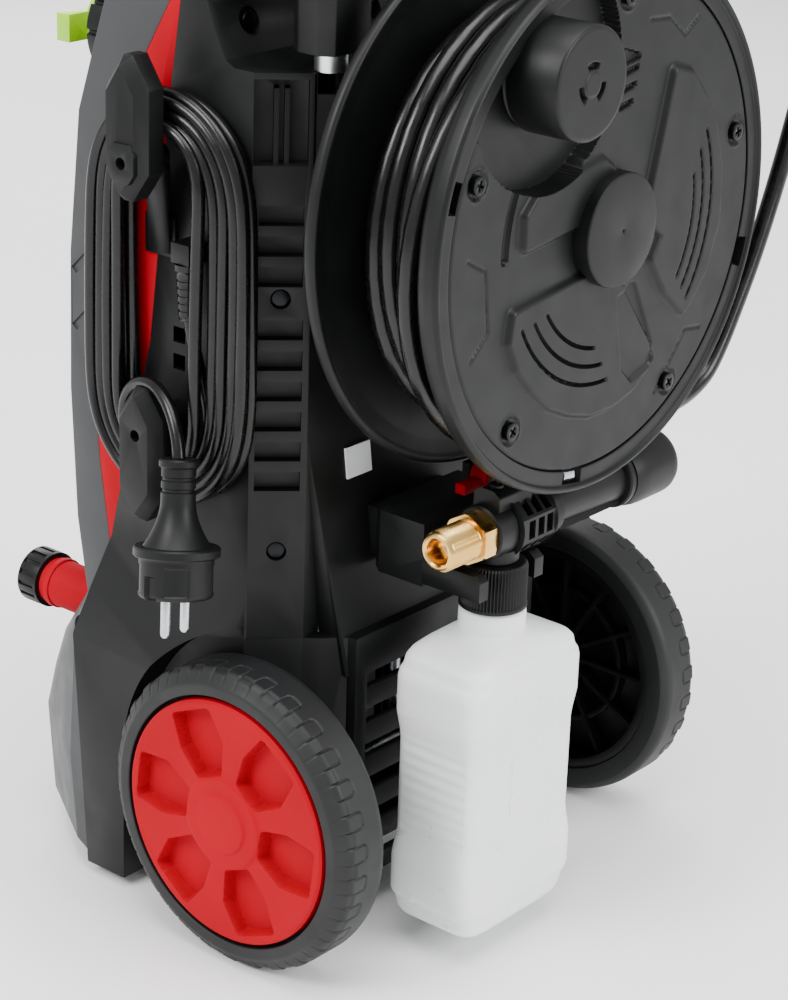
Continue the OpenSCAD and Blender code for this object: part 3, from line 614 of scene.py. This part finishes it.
def make_strain_relief():
    """The tapered sleeve that guides the lead out of its gland."""
    x, y, top = GLAND_EXIT[0], GLAND_EXIT[1], GLAND_EXIT[2] + 1.5
    outer = [(6.6, top), (6.6, top - 3.0), (5.9, top - 4.0)]
    for rib in range(6):
        radius, low = 5.7 - 0.26 * rib, top - 4.6 - 3.8 * rib
        outer += [(radius, low), (radius, low - 2.4)]
        outer += [(radius - 0.7, low - 2.8), (radius - 0.7, low - 3.4)]
    outer += [(4.2, top - 27.6), (3.9, top - 28.4), (3.2, top - 28.4), (3.2, top)]
    sleeve = turned("strain_relief", outer, upright(x, y), 64)
    finish_piece(sleeve, ["cord_gland"], "rubber")


# ------------------------------------------------------------------ wheels

AXLE_Z = 80.0
TYRE_IN, TYRE_OUT = 118.0, 149.4
LUGS = 30
DISC_FACE = 150.3
POCKET = [(60, -11), (60, 13), (43, 19), (26, 18), (26, -17), (44, -20)]
POCKETS = 6
POCKET_START = 22.0
POCKET_DEPTH = 7.4


def on_wheel(side):
    """Places points of a wheel: u down and v to the rear from the axle, h outwards."""
    return lambda u, v, h: (side * h, v, AXLE_Z - u)


def tyre_surface(r, h, turn):
    """Lugs along the outboard shoulder, each outlined by a fine groove and notched."""
    pitch = 2 * math.pi / LUGS
    along = (((turn + 0.5 * pitch) % pitch) - 0.5 * pitch) * AXLE_Z
    across = TYRE_OUT - 5.5 - h
    lug = np.hypot(np.maximum(np.abs(along) - 2.0, 0), np.maximum(np.abs(across - 1.0) - 6.5, 0)) - 2.2
    tread = inside(np.abs(r - 78.6) - 2.6, 0.6) * (h > TYRE_IN + 6)
    groove = inside(np.abs(lug) - 0.35, 0.5)
    notch = inside(np.abs(across - 0.5) - 1.6, 1.6) * (1 - inside(lug, 0.8))
    return r - tread * (0.8 * groove + 0.9 * notch), h


def make_tyre(side, node):
    tread = [(AXLE_Z, TYRE_IN + 6 + 0.7 * k) for k in range(28)]
    shoulder = [(79.6, 144.0), (78.6, 145.0), (77.6, 145.8), (76.4, 146.4)]
    rest = [(73.2, 148.6), (72.4, 149.2), (71.4, 149.4), (66.9, 149.4), (66.5, 149.0),
            (66.5, 140.4), (66.0, 140.4), (66.0, 119.4), (66.6, 118.8), (75.4, 118.0), (76.2, 118.2),
            (78.8, 120.8), (79.5, 122.0)]
    tyre = turned(node + "_tread", tread + shoulder + rest, on_wheel(side), 900, tyre_surface)
    finish_piece(tyre, [node])


def disc_face(u, v):
    """Height of the red disc over its plane: six deep pockets and a stepped boss."""
    radius, turn = np.hypot(u, v), np.degrees(np.arctan2(v, u)) - POCKET_START
    fold = np.radians((turn + 180.0 / POCKETS) % (360.0 / POCKETS) - 180.0 / POCKETS)
    corners = [(r * math.cos(math.radians(a)), r * math.sin(math.radians(a))) for r, a in POCKET]
    pocket = soft_polygon(radius * np.cos(fold), radius * np.sin(fold), corners, 2.0)
    height = DISC_FACE - POCKET_DEPTH * inside(pocket, 1.6)
    height += 1.2 * inside(radius - 24.0, 3.0) + 1.3 * inside(radius - 15.5, 1.4)
    return height - 1.1 * inside(63.6 - radius, 1.8)


def make_wheel_disc(side, node):
    """The red disc: its face in rings, then its rim and its flat back."""
    steps = 540
    turn = np.linspace(0.0, 2 * math.pi, steps, endpoint=False)
    place = on_wheel(side)
    rings = []
    for radius in np.concatenate([[0.6], np.arange(6.0, 64.8, 0.55)]):
        u, v = radius * np.cos(turn), radius * np.sin(turn)
        rings.append([place(*point) for point in zip(u, v, disc_face(u, v))])
    for radius, height in ((64.7, 141.5), (20.0, 141.2)):
        rings.append([place(radius * math.cos(a), radius * math.sin(a), height) for a in turn])
    finish_piece(skin(node + "_face", rings, angle=40.0), [node])


# ------------------------------------------------------------------ hose reel

KNOB_X = 96 * math.cos(math.radians(57))
KNOB_Z = 96 * math.sin(math.radians(57))
COVER_Y = 103.2
RIM_SLOTS = (163, -17, -98)
COVER_R = 118.9
POCKET_R = 54.0
POCKET_FLOOR = 94.6
SCREW_R = 109.0
SCREW_TURNS = [21 + 72 * k for k in range(5)]
BLADES = [
    [(-70, 2), (-70, 17), (-61, 26), (-6, 34), (3, 28), (-2, 22), (-16, 8)],
    [(46, 73), (59, 69), (73, 54), (84, 38), (92, 16), (94, -16), (84, -43), (68, -60), (50, -45),
     (36, -26), (44, -13), (33, -3), (31, 12)],
    [(-76, -25), (-78, -38), (-71, -52), (-58, -66), (-42, -79), (-24, -87), (-6, -92), (12, -92),
     (31, -87), (46, -76), (43, -68), (14, -30), (-16, -18)],
]
PANEL = [(8, -34), (24, -31), (43, -68), (40, -77), (24, -82), (17, -75)]
GROOVES = [(76, -152, -88), (67, -149, -92), (58, -146, -99), (83, 25, -36), (75.5, 20, -34),
           (68, 12, -32)]
MARKS = [[(-106, 5), (-93, -2), (-89, -32), (-101, -43)], [(86, -69), (73, -67), (49, -95)],
         [(25, 95), (41, 94), (54, 84), (65, 91)]]
COMB = [[(5, 76), (18, 78), (18, 80), (5, 84)], [(7, 71), (17, 73), (17, 75), (7, 73.4)],
        [(6, 63), (16, 65), (16, 67), (6, 65.4)], [(4, 55), (14, 57), (14, 59), (4, 57.4)]]


def on_reel(u, v, h):
    """A point of the reel: u to the right and v up as seen from behind, h along the shaft."""
    return (-u, h, REEL_Z + v)


def cover_face(u, v):
    """Height of the reel's cover: plateaus, grooves, screw recesses and the crank's pocket."""
    height = np.full(np.shape(u), COVER_Y)
    for blade in BLADES:
        height += 3.0 * inside(soft_polygon(u, v, blade, 3.5), 3.4)
    height -= 1.6 * inside(soft_polygon(u, v, PANEL, 2.5), 2.0)
    for radius, start, end in GROOVES:
        height -= 2.4 * inside(arc_distance(u, v, radius, start, end) - 0.6, 0.7)
    height -= 2.6 * inside(arc_distance(u, v, 79.0, 158, 180) - 2.2, 1.2)
    for mark in MARKS:
        height -= 0.9 * inside(line_distance(u, v, mark) - 0.5, 1.4)
    for slot in COMB:
        height -= 2.6 * inside(polygon_distance(u, v, slot) - 0.3, 0.8)
    for turn in SCREW_TURNS:
        a = math.radians(turn)
        ring = np.hypot(u + SCREW_R * math.cos(a), v - SCREW_R * math.sin(a))
        height -= 1.4 * inside(ring - 6.6, 1.2)
        height += 0.5 * inside(np.abs(ring - 7.6) - 0.3, 0.9)
    pocket = np.hypot(u + KNOB_X, v - KNOB_Z) - POCKET_R
    height -= (height - POCKET_FLOOR) * inside(pocket, 1.0)
    return height - 0.9 * inside(COVER_R - 0.6 - np.hypot(u, v), 1.2)


def make_reel_cover():
    turn = np.linspace(0.0, 2 * math.pi, 720, endpoint=False)
    rings = []
    for radius in np.append(np.arange(20.0, COVER_R, 0.75), COVER_R):
        u, v = radius * np.cos(turn), radius * np.sin(turn)
        rings.append([on_reel(*point) for point in zip(u, v, cover_face(u, v))])
    for radius in (COVER_R, 20.0):
        rings.append([on_reel(radius * math.cos(a), radius * math.sin(a), 94.2) for a in turn])
    cover = skin("reel_cover_relief", rings, angle=42.0)
    finish_piece(cover, ["reel_cover"])
    profile = fillet([(0.5, 100), (27.8, 100), (27.8, 112.4), (0.5, 112.9)], 1.6)
    finish_piece(turned("reel_hub_cap", profile, on_reel, 128, closed=False), ["reel_cover"])


def rim_surface(r, h, turn):
    """Clip slots cut across the step between the front flange's rim and the cover."""
    for place in RIM_SLOTS:
        away = np.abs((turn - math.radians(place) + math.pi) % (2 * math.pi) - math.pi)
        slot = inside(away * 124 - 6.6, 0.8) * (r > 119.3) * (r < 126.2) * (h > 100)
        h = h - 5.0 * slot
    return r, h


def make_rim_clip():
    """The bright end of the clip that shows in the lowest slot of the rim."""
    away = math.radians(RIM_SLOTS[2])
    out, along = (math.cos(away), math.sin(away)), (-math.sin(away), math.cos(away))
    outline = fillet([(120.2, 99.4), (125.2, 99.4), (125.2, 101.6), (123.4, 102.8), (120.2, 102.2)],
                     0.6)
    rings = []
    for shift in (-4.6, -4.2, 3.2, 3.6):
        shrink = 0.4 if abs(shift) in (4.6, 3.6) else 0.0
        rings.append([on_reel(r * out[0] + shift * along[0], r * out[1] + shift * along[1],
                              h - shrink) for r, h in outline])
    finish_piece(skin("rim_clip", rings), ["reel_front_flange"], "steel")


def make_front_flange():
    corners = [(20, 91), (126, 91), (129.6, 94.5), (130.6, 98), (130.6, 103.2), (129.2, 105.2),
               (127.4, 105.2), (126.6, 103.6), (126.0, 103.4), (125.6, 103.4), (121.6, 103.4),
               (121.2, 103.4), (119.4, 103.4), (119.4, 96), (112, 94), (20, 94)]
    flange = turned("front_flange_rim", fillet(corners, 0.8), on_reel, 720, rim_surface)
    finish_piece(flange, ["reel_front_flange"])
    make_rim_clip()


def make_rear_flange():
    corners = [(7.1, 28), (128, 28), (131.6, 28.8), (133, 31), (133, 34), (131.6, 35.6),
               (129.6, 35.4), (128.4, 34), (121, 32.4), (80, 32), (80, 90.7), (16, 90.7), (7.1, 90.7)]
    flange = turned("rear_flange_rim", fillet(corners, 1.2), on_reel, 256)
    finish_piece(flange, ["reel_rear_flange"])


def knob_face(u, v):
    """Face of the crank knob: a dished cap with three slots round a centre dot."""
    radius = np.hypot(u, v)
    turn = np.degrees(np.arctan2(v, u)) - 90.0
    away = np.abs((turn + 60.0) % 120.0 - 60.0)
    slot = np.maximum(np.abs(radius - 8.4) - 1.4, (away - 27.0) * 0.14)
    return 127.0 + 0.5 * inside(radius - 5.6, 1.0) - 2.4 * inside(slot, 0.6)


def make_crank_knob():
    def place(u, v, h):
        return (KNOB_X - u, h, REEL_Z + KNOB_Z + v)
    turn = np.linspace(0.0, 2 * math.pi, 180, endpoint=False)
    rings = []
    for radius in np.append(0.4, np.arange(2.0, 24.4, 0.5)):
        u, v = radius * np.cos(turn), radius * np.sin(turn)
        rings.append([place(*point) for point in zip(u, v, knob_face(u, v))])
    side = [(25.4, 126.9), (26.1, 126.4), (26.5, 125.6), (26.5, 99.0), (26.2, 98.4), (25.0, 98.2),
            (24.6, 97.4), (25.0, 96.8), (25.4, 96.2), (25.2, 95.2), (24.6, 94.9), (4.2, 94.9),
            (4.2, 116.0), (0.4, 116.0)]
    for radius, height in side:
        rings.append([place(radius * math.cos(a), radius * math.sin(a), height) for a in turn])
    finish_piece(skin("crank_knob_grip", rings), ["crank_knob"])


# ------------------------------------------------------------------ bottle and lance

LANCE_Y, LANCE_Z = 70.0, 224.0
BOTTLE_X = 31.0
CAGE_R = 15.4


def on_lance(u, v, h):
    """A point of the lance: u and v across it, h along it to the left of the machine."""
    return (h, LANCE_Y + u, LANCE_Z + v)


def bottle_half(z):
    """Half width, half depth and corner radius of the bottle at a height."""
    heights = [14.0, 14.6, 16.5, 20.0, 25.0, 26.8, 28.8, 31.5, 50.0, 55.0, 60.0, 65.0, 116.0, 121.0,
               126.5, 131.0, 150.0, 153.6, 155.2, 157.0, 160.5, 163.4, 166.0, 168.4, 170.5]
    widths = [31.2, 35.2, 38.8, 41.1, 42.0, 42.4, 44.0, 45.0, 45.0, 44.2, 43.1, 42.5, 42.5, 43.1,
              44.2, 45.0, 45.0, 44.0, 42.8, 42.2, 41.4, 38.6, 32.6, 25.0, 17.2]
    depths = [18.6, 21.9, 24.8, 26.3, 27.0, 27.3, 28.1, 28.5, 28.5, 28.0, 27.4, 27.0, 27.0, 27.4,
              28.0, 28.5, 28.5, 28.0, 27.2, 26.8, 26.2, 24.8, 22.4, 19.6, 17.0]
    corners = [9.0, 9.0, 8.0, 7.0, 7.0, 7.0, 7.0, 7.0, 7.0, 7.0, 7.0, 7.0, 7.0, 7.0,
               7.0, 7.0, 7.0, 7.0, 7.0, 7.0, 7.5, 8.0, 10.0, 14.0, 17.0]
    return [float(np.interp(z, heights, column)) for column in (widths, depths, corners)]


def rounded_rectangle(width, depth, radius, count):
    """Points at even turns round a rectangle with round corners, with their directions."""
    points = []
    for k in range(count):
        a = 2 * math.pi * k / count
        c, s = math.cos(a), math.sin(a)
        sharp = 7.0 if radius < 9 else 7.0 - min(radius - 9, 8) * 0.62
        reach = (abs(c / width) ** sharp + abs(s / depth) ** sharp) ** (-1 / sharp)
        points.append((reach * c, reach * s))
    return points


def bottle_dent(x, y, z, width, depth):
    """How far the bottle's skin stands in or out for its grip ribs and embossed lines."""
    out = 0.0
    if abs(x) > width - 3.0 and 62 < z < 122:
        ribs = 0.5 + 0.5 * math.cos((z - 62) * 2 * math.pi / 6.5)
        out -= 0.9 * ribs * min(1.0, (122 - z) / 6, (z - 62) / 6) * (abs(y) < depth - 8)
    if abs(y) > depth - 3.0:
        slot = max(abs(x - 14.0) - 1.6, abs(z - 92.0) - 16.0)
        out -= 1.1 * float(inside(slot, 1.2))
        bow = abs(x + 16 + ((z - 92) / 11.0) ** 2 * 0.5)
        out -= 0.8 * float(inside(bow - 0.5, 1.2)) * (58 < z < 130)
        slant = abs(x - 22 + (z - 128) * 0.42)
        out -= 0.7 * float(inside(slant - 0.5, 1.4)) * (112 < z < 146)
    return out


def make_bottle():
    """The bottle's skin, ring by ring from its base to its neck."""
    rings = []
    for z in np.concatenate([np.arange(14.0, 34.0, 0.8), np.arange(34.0, 152.0, 1.1),
                             np.arange(152.0, 170.8, 0.7)]):
        width, depth, radius = bottle_half(z)
        ring = []
        for x, y in rounded_rectangle(width, depth, radius, 240):
            k = 1 + bottle_dent(x, y, z, width, depth) / math.hypot(x, y)
            ring.append((BOTTLE_X + x * k, LANCE_Y + y * k, float(z)))
        rings.append(ring)
    neck = [(17.0, 171.4), (17.0, 179.2), (16.8, 180.6), (16.0, 181.8), (14.6, 182.5), (12.0, 182.7)]
    for radius, z in neck:
        turns = [2 * math.pi * k / 240 for k in range(240)]
        rings.append([(BOTTLE_X + radius * math.cos(a), LANCE_Y + radius * math.sin(a), z)
                      for a in turns])
    finish_piece(skin("bottle_skin", rings, angle=50.0), ["bottle"])


def knurled(ribs, depth, low, high):
    """A surface with fine ribs between two heights."""
    def shape(r, h, turn):
        wave = 0.5 + 0.5 * np.cos(turn * ribs)
        return r - depth * wave * (h > low) * (h < high), h
    return shape


def make_bottle_cap():
    profile = [(2.0, 207.3), (14.0, 207.3), (15.6, 206.7), (16.5, 205.5), (16.8, 204.2),
               (16.8, 186.4), (16.8, 185.2), (17.1, 184.6), (17.1, 183.2), (15.0, 183.2),
               (12.0, 182.2), (2.0, 182.2)]
    cap = turned("bottle_cap_ribs", profile, upright(BOTTLE_X, LANCE_Y), 480,
                 knurled(60, 0.8, 185.0, 205.7), closed=False, angle=50.0)
    finish_piece(cap, ["bottle_cap"])


def make_lance_inlet():
    """Brass inlet: an external thread with a hollow bore, and its hexagon."""
    pitch = 1.5

    def thread(r, h, turn):
        wave = np.abs(((h / pitch - turn / (2 * math.pi)) % 1.0) - 0.5) * 2
        return r - 0.8 * wave * (r > 10.0) * (h > 56.4) * (h < 76.2), h
    outside = [(10.4, 45.2), (10.4, 56.2)] + [(10.4, 56.5 + 0.25 * k) for k in range(79)]
    bore = [(10.0, 76.4), (9.2, 77.6), (8.6, 78.0), (7.4, 78.0), (6.6, 77.2), (6.5, 66.0),
            (5.4, 65.0), (4.2, 65.0), (3.6, 64.0), (3.6, 46.0)]
    spigot = turned("lance_inlet_thread", outside + bore, on_lance, 96, thread, angle=40.0)
    finish_piece(spigot, ["lance_inlet"])
    corners = [(8.0, 45.2), (12.9, 45.2), (13.9, 46.4), (13.9, 53.8), (12.9, 55.0), (8.0, 55.0)]

    def hexagon(r, h, turn):
        flat = 11.9 / np.cos((turn + math.pi / 6) % (math.pi / 3) - math.pi / 6)
        return np.minimum(r, flat), h
    nut = turned("lance_inlet_nut", corners, on_lance, 96, hexagon, angle=24.0)
    finish_piece(nut, ["lance_inlet"])


def lance_surface(r, h, turn):
    """Eight slotted flats round the cage, and a flat rib under the neck."""
    eighth = math.pi / 4
    fold = (turn + 0.5 * eighth) % eighth - 0.5 * eighth
    caged = (h > 3.0) & (h < 29.9) & (r > 12)
    r = np.where(caged, np.minimum(r, CAGE_R / np.cos(fold)), r)
    for start in (5.4, 12.6, 19.8):
        slot = inside(np.abs(fold) * CAGE_R - 4.4, 0.5) * (h > start) * (h < start + 4.5)
        r = r - 3.8 * slot * caged
    away = np.abs((turn - math.radians(288) + math.pi) % (2 * math.pi) - math.pi)
    ribbed = (away < 0.44) & (h < -8.5) & (h > -60.5) & (r > 10)
    return np.where(ribbed, np.maximum(r, 13.4 / np.cos(away)), r), h


def make_lance_body():
    """The foam lance's body with its slotted cage, and the bracket with two holes on top."""
    root = [(4.6, 45.0), (13.4, 45.0), (14.2, 44.2), (14.2, 31.2), (13.6, 30.4)]
    cage = [(16.9, 30.1 - 0.35 * k) for k in range(79)]
    waist = [(14.2, 2.4), (14.4, 1.8), (14.4, -6.0), (13.6, -7.0), (11.6, -7.4), (11.1, -8.2)]
    neck = [(11.1 + 1.4 * k / 26, -9.0 - 2.0 * k) for k in range(27)]
    collar = [(15.2, -61.3), (16.1, -62.0), (16.1, -65.2), (15.2, -66.0), (4.6, -66.0)]
    body = turned("lance_body_cage", root + cage + waist + neck + collar, on_lance, 480,
                  lance_surface, angle=30.0)
    finish_piece(body, ["lance_body"])
    outline = fillet([(62, 234), (62, 243), (66, 246), (74, 246), (78, 243), (78, 234)], 1.2)
    bracket = skin("lance_bracket", [[(x, y, z) for y, z in outline] for x in (14, 40)])
    finish_piece(bracket, ["lance_body"])
    stem = [(0.5, 216.0), (9.6, 216.0), (12.0, 214.4), (12.0, 208.4), (11.2, 207.4), (0.5, 207.4)]
    finish_piece(turned("lance_stem", stem, upright(BOTTLE_X, LANCE_Y), 96, closed=False),
                 ["lance_body"])
    eyelet = [(0.3, 246.1), (2.0, 246.1), (2.0, 247.0), (2.3, 247.4), (3.5, 247.4), (3.9, 247.0),
              (3.9, 245.6), (0.3, 245.6)]
    for x in (20, 33):
        finish_piece(turned("lance_eyelet", eyelet, upright(x, LANCE_Y), 48, closed=False),
                     ["lance_body"])


def make_lance_nozzle():
    profile = [(6.2, -66.4), (16.2, -66.4), (17.0, -69.0), (17.7, -73.0), (18.0, -77.0),
               (18.0, -97.0), (17.7, -99.4), (16.8, -101.6), (15.6, -102.8), (14.6, -102.9),
               (14.0, -102.2), (13.9, -90.0), (6.2, -90.0)]
    finish_piece(turned("lance_nozzle_shell", profile, on_lance, 144), ["lance_nozzle"])


# ------------------------------------------------------------------ front fairing

VENT_ROWS = [(190 + 11 * k, 26 + 3.2 * k) for k in range(8)]
SWITCH_X, SWITCH_Z = 56.0, 440.0


def make_front_vents():
    """A stack of louvre bars that follow the fairing's curve, over the motor."""
    bm = bmesh.new()
    bm.from_mesh(frame["nodes"]["front_cover"].data)
    cover = BVHTree.FromBMesh(bm)
    bm.free()
    section = [(1.5, -2.4), (-0.5, -2.4), (-1.5, -1.2), (-1.5, 0.6), (-0.4, 2.4), (1.5, 2.4)]
    for z, half in VENT_ROWS:
        rings = []
        for x in np.linspace(-half, half, 15):
            hit = cover.ray_cast(mm(x, -400, z), Vector((0.0, 1.0, 0.0)))[0]
            y = (hit.y - AXLE_Y) / MM
            end = 0.75 if abs(x) > half - 1 else 1.0
            rings.append([(x, y + out * (end if out < 0 else 1.0), z + up * end)
                          for out, up in section])
        finish_piece(skin("front_vent_bar", rings, angle=40.0), ["front_cover"], "black_plastic")


def make_switch_dial():
    """The round plate behind the rotary switch, with notches for its positions."""
    def place(u, v, h):
        return (SWITCH_X + u, h, SWITCH_Z + v)

    def notched(r, h, turn):
        away = np.abs((turn + math.radians(15)) % math.radians(30) - math.radians(15))
        return r - 1.6 * inside(away * 29 - 1.1, 0.6) * (r > 26), h
    profile = [(6.0, -148.0), (29.4, -148.0), (30.0, -157.0), (29.2, -158.6), (27.0, -159.4),
               (24.4, -160.6), (23.4, -160.8), (22.6, -160.2), (6.0, -160.2)]
    dial = turned("switch_dial", profile, place, 360, notched)
    finish_piece(dial, ["front_cover"], "black_plastic")


def make_rear_plate():
    """The small bright plate that lies on the slope of the rear panel."""
    lean = math.radians(7.68)
    outline = fillet([(0.1, 0.1), (1.4, 0.1), (1.4, 15.9), (0.1, 15.9)], 0.3)
    rings = [[(x, 0.55 + out * math.cos(lean) - up * math.sin(lean),
               239 + out * math.sin(lean) + up * math.cos(lean)) for out, up in outline]
             for x in (45.9, 64.1)]
    finish_piece(skin("rear_plate", rings), ["housing_fittings"], "white_plastic")


# ------------------------------------------------------------------ the build

# CAD nodes whose flat faces have holes, and the edge radius in millimetres of each node whose
# looks are its CAD shape with rounded edges.
PIERCED = ("rear_housing", "front_cover", "lower_front_cover", "bottle_holder", "lower_hook",
           "left_wheel_core", "right_wheel_core", "gun_holster", "handle_sleeves", "inlet_union")
ROUNDING = {
    "rear_housing": 1.2, "front_cover": 1.2, "lower_front_cover": 1.2, "accent_strips": 0.5,
    "front_foot": 0.8, "axle": 0.4, "axle_caps": 0.3,
    "left_wheel_core": 0.6, "right_wheel_core": 0.6,
    "motor_stator": 0.5, "motor_end_shields": 0.8, "motor_rotor": 0.4,
    "motor_fan": 0.3, "pump_wobble_plate": 0.3, "pump_pistons": 0.3, "pump_head": 1.0,
    "outlet_pipe": 0.0, "capacitor": 0.6, "switch_box": 0.8, "switch_knob": 1.2,
    "inlet_union": 0.6, "inlet_cap": 0.5, "handle_tubes": 0.3, "handle_grip": 1.2,
    "handle_button": 1.0, "handle_sleeves": 0.8, "hook_base": 0.6, "hook_plate": 0.6,
    "lower_hook": 0.6, "cord_gland": 0.8,
    "reel_spindle": 0.5,
    "reel_screws": 0.2, "crank_pin": 0.3, "reel_lock": 0.6,
    "housing_fittings": 0.25, "bottle_holder": 0.9, "gun_body": 2.0,
    "gun_trigger": 1.0, "gun_barrel": 0.5, "gun_holster": 1.0,
}
FINISH = {"housing_fittings": "dark_screw"}


def build():
    make_camera()
    make_mains_lead(make_plug())
    make_strain_relief()
    make_hose()
    make_lights()
    for node, width in ROUNDING.items():
        rounded(node, width, material=FINISH.get(node))
    for side, name in ((1, "left"), (-1, "right")):
        make_tyre(side, name + "_tyre")
        make_wheel_disc(side, name + "_wheel_disc")
    make_reel_cover()
    make_front_flange()
    make_rear_flange()
    make_crank_knob()
    make_bottle()
    make_bottle_cap()
    make_lance_inlet()
    make_lance_body()
    make_lance_nozzle()
    make_front_vents()
    make_switch_dial()
    make_rear_plate()


def make_floor():
    """The plain pale floor, which belongs to the picture and not to the part."""
    mesh = bpy.data.meshes.new("floor")
    mesh.from_pydata([(-4, -4, 0), (4, -4, 0), (4, 4, 0), (-4, 4, 0)], [], [(0, 1, 2, 3)])
    floor = new_object("floor", mesh)
    s = Shader("floor_white", Roughness=0.6)
    s.colour(s.noise(3.0, 2.0), (0.92, 0.92, 0.92, 1.0), (0.95, 0.95, 0.95, 1.0))
    mesh.materials.append(s.material)


build()
make_floor()
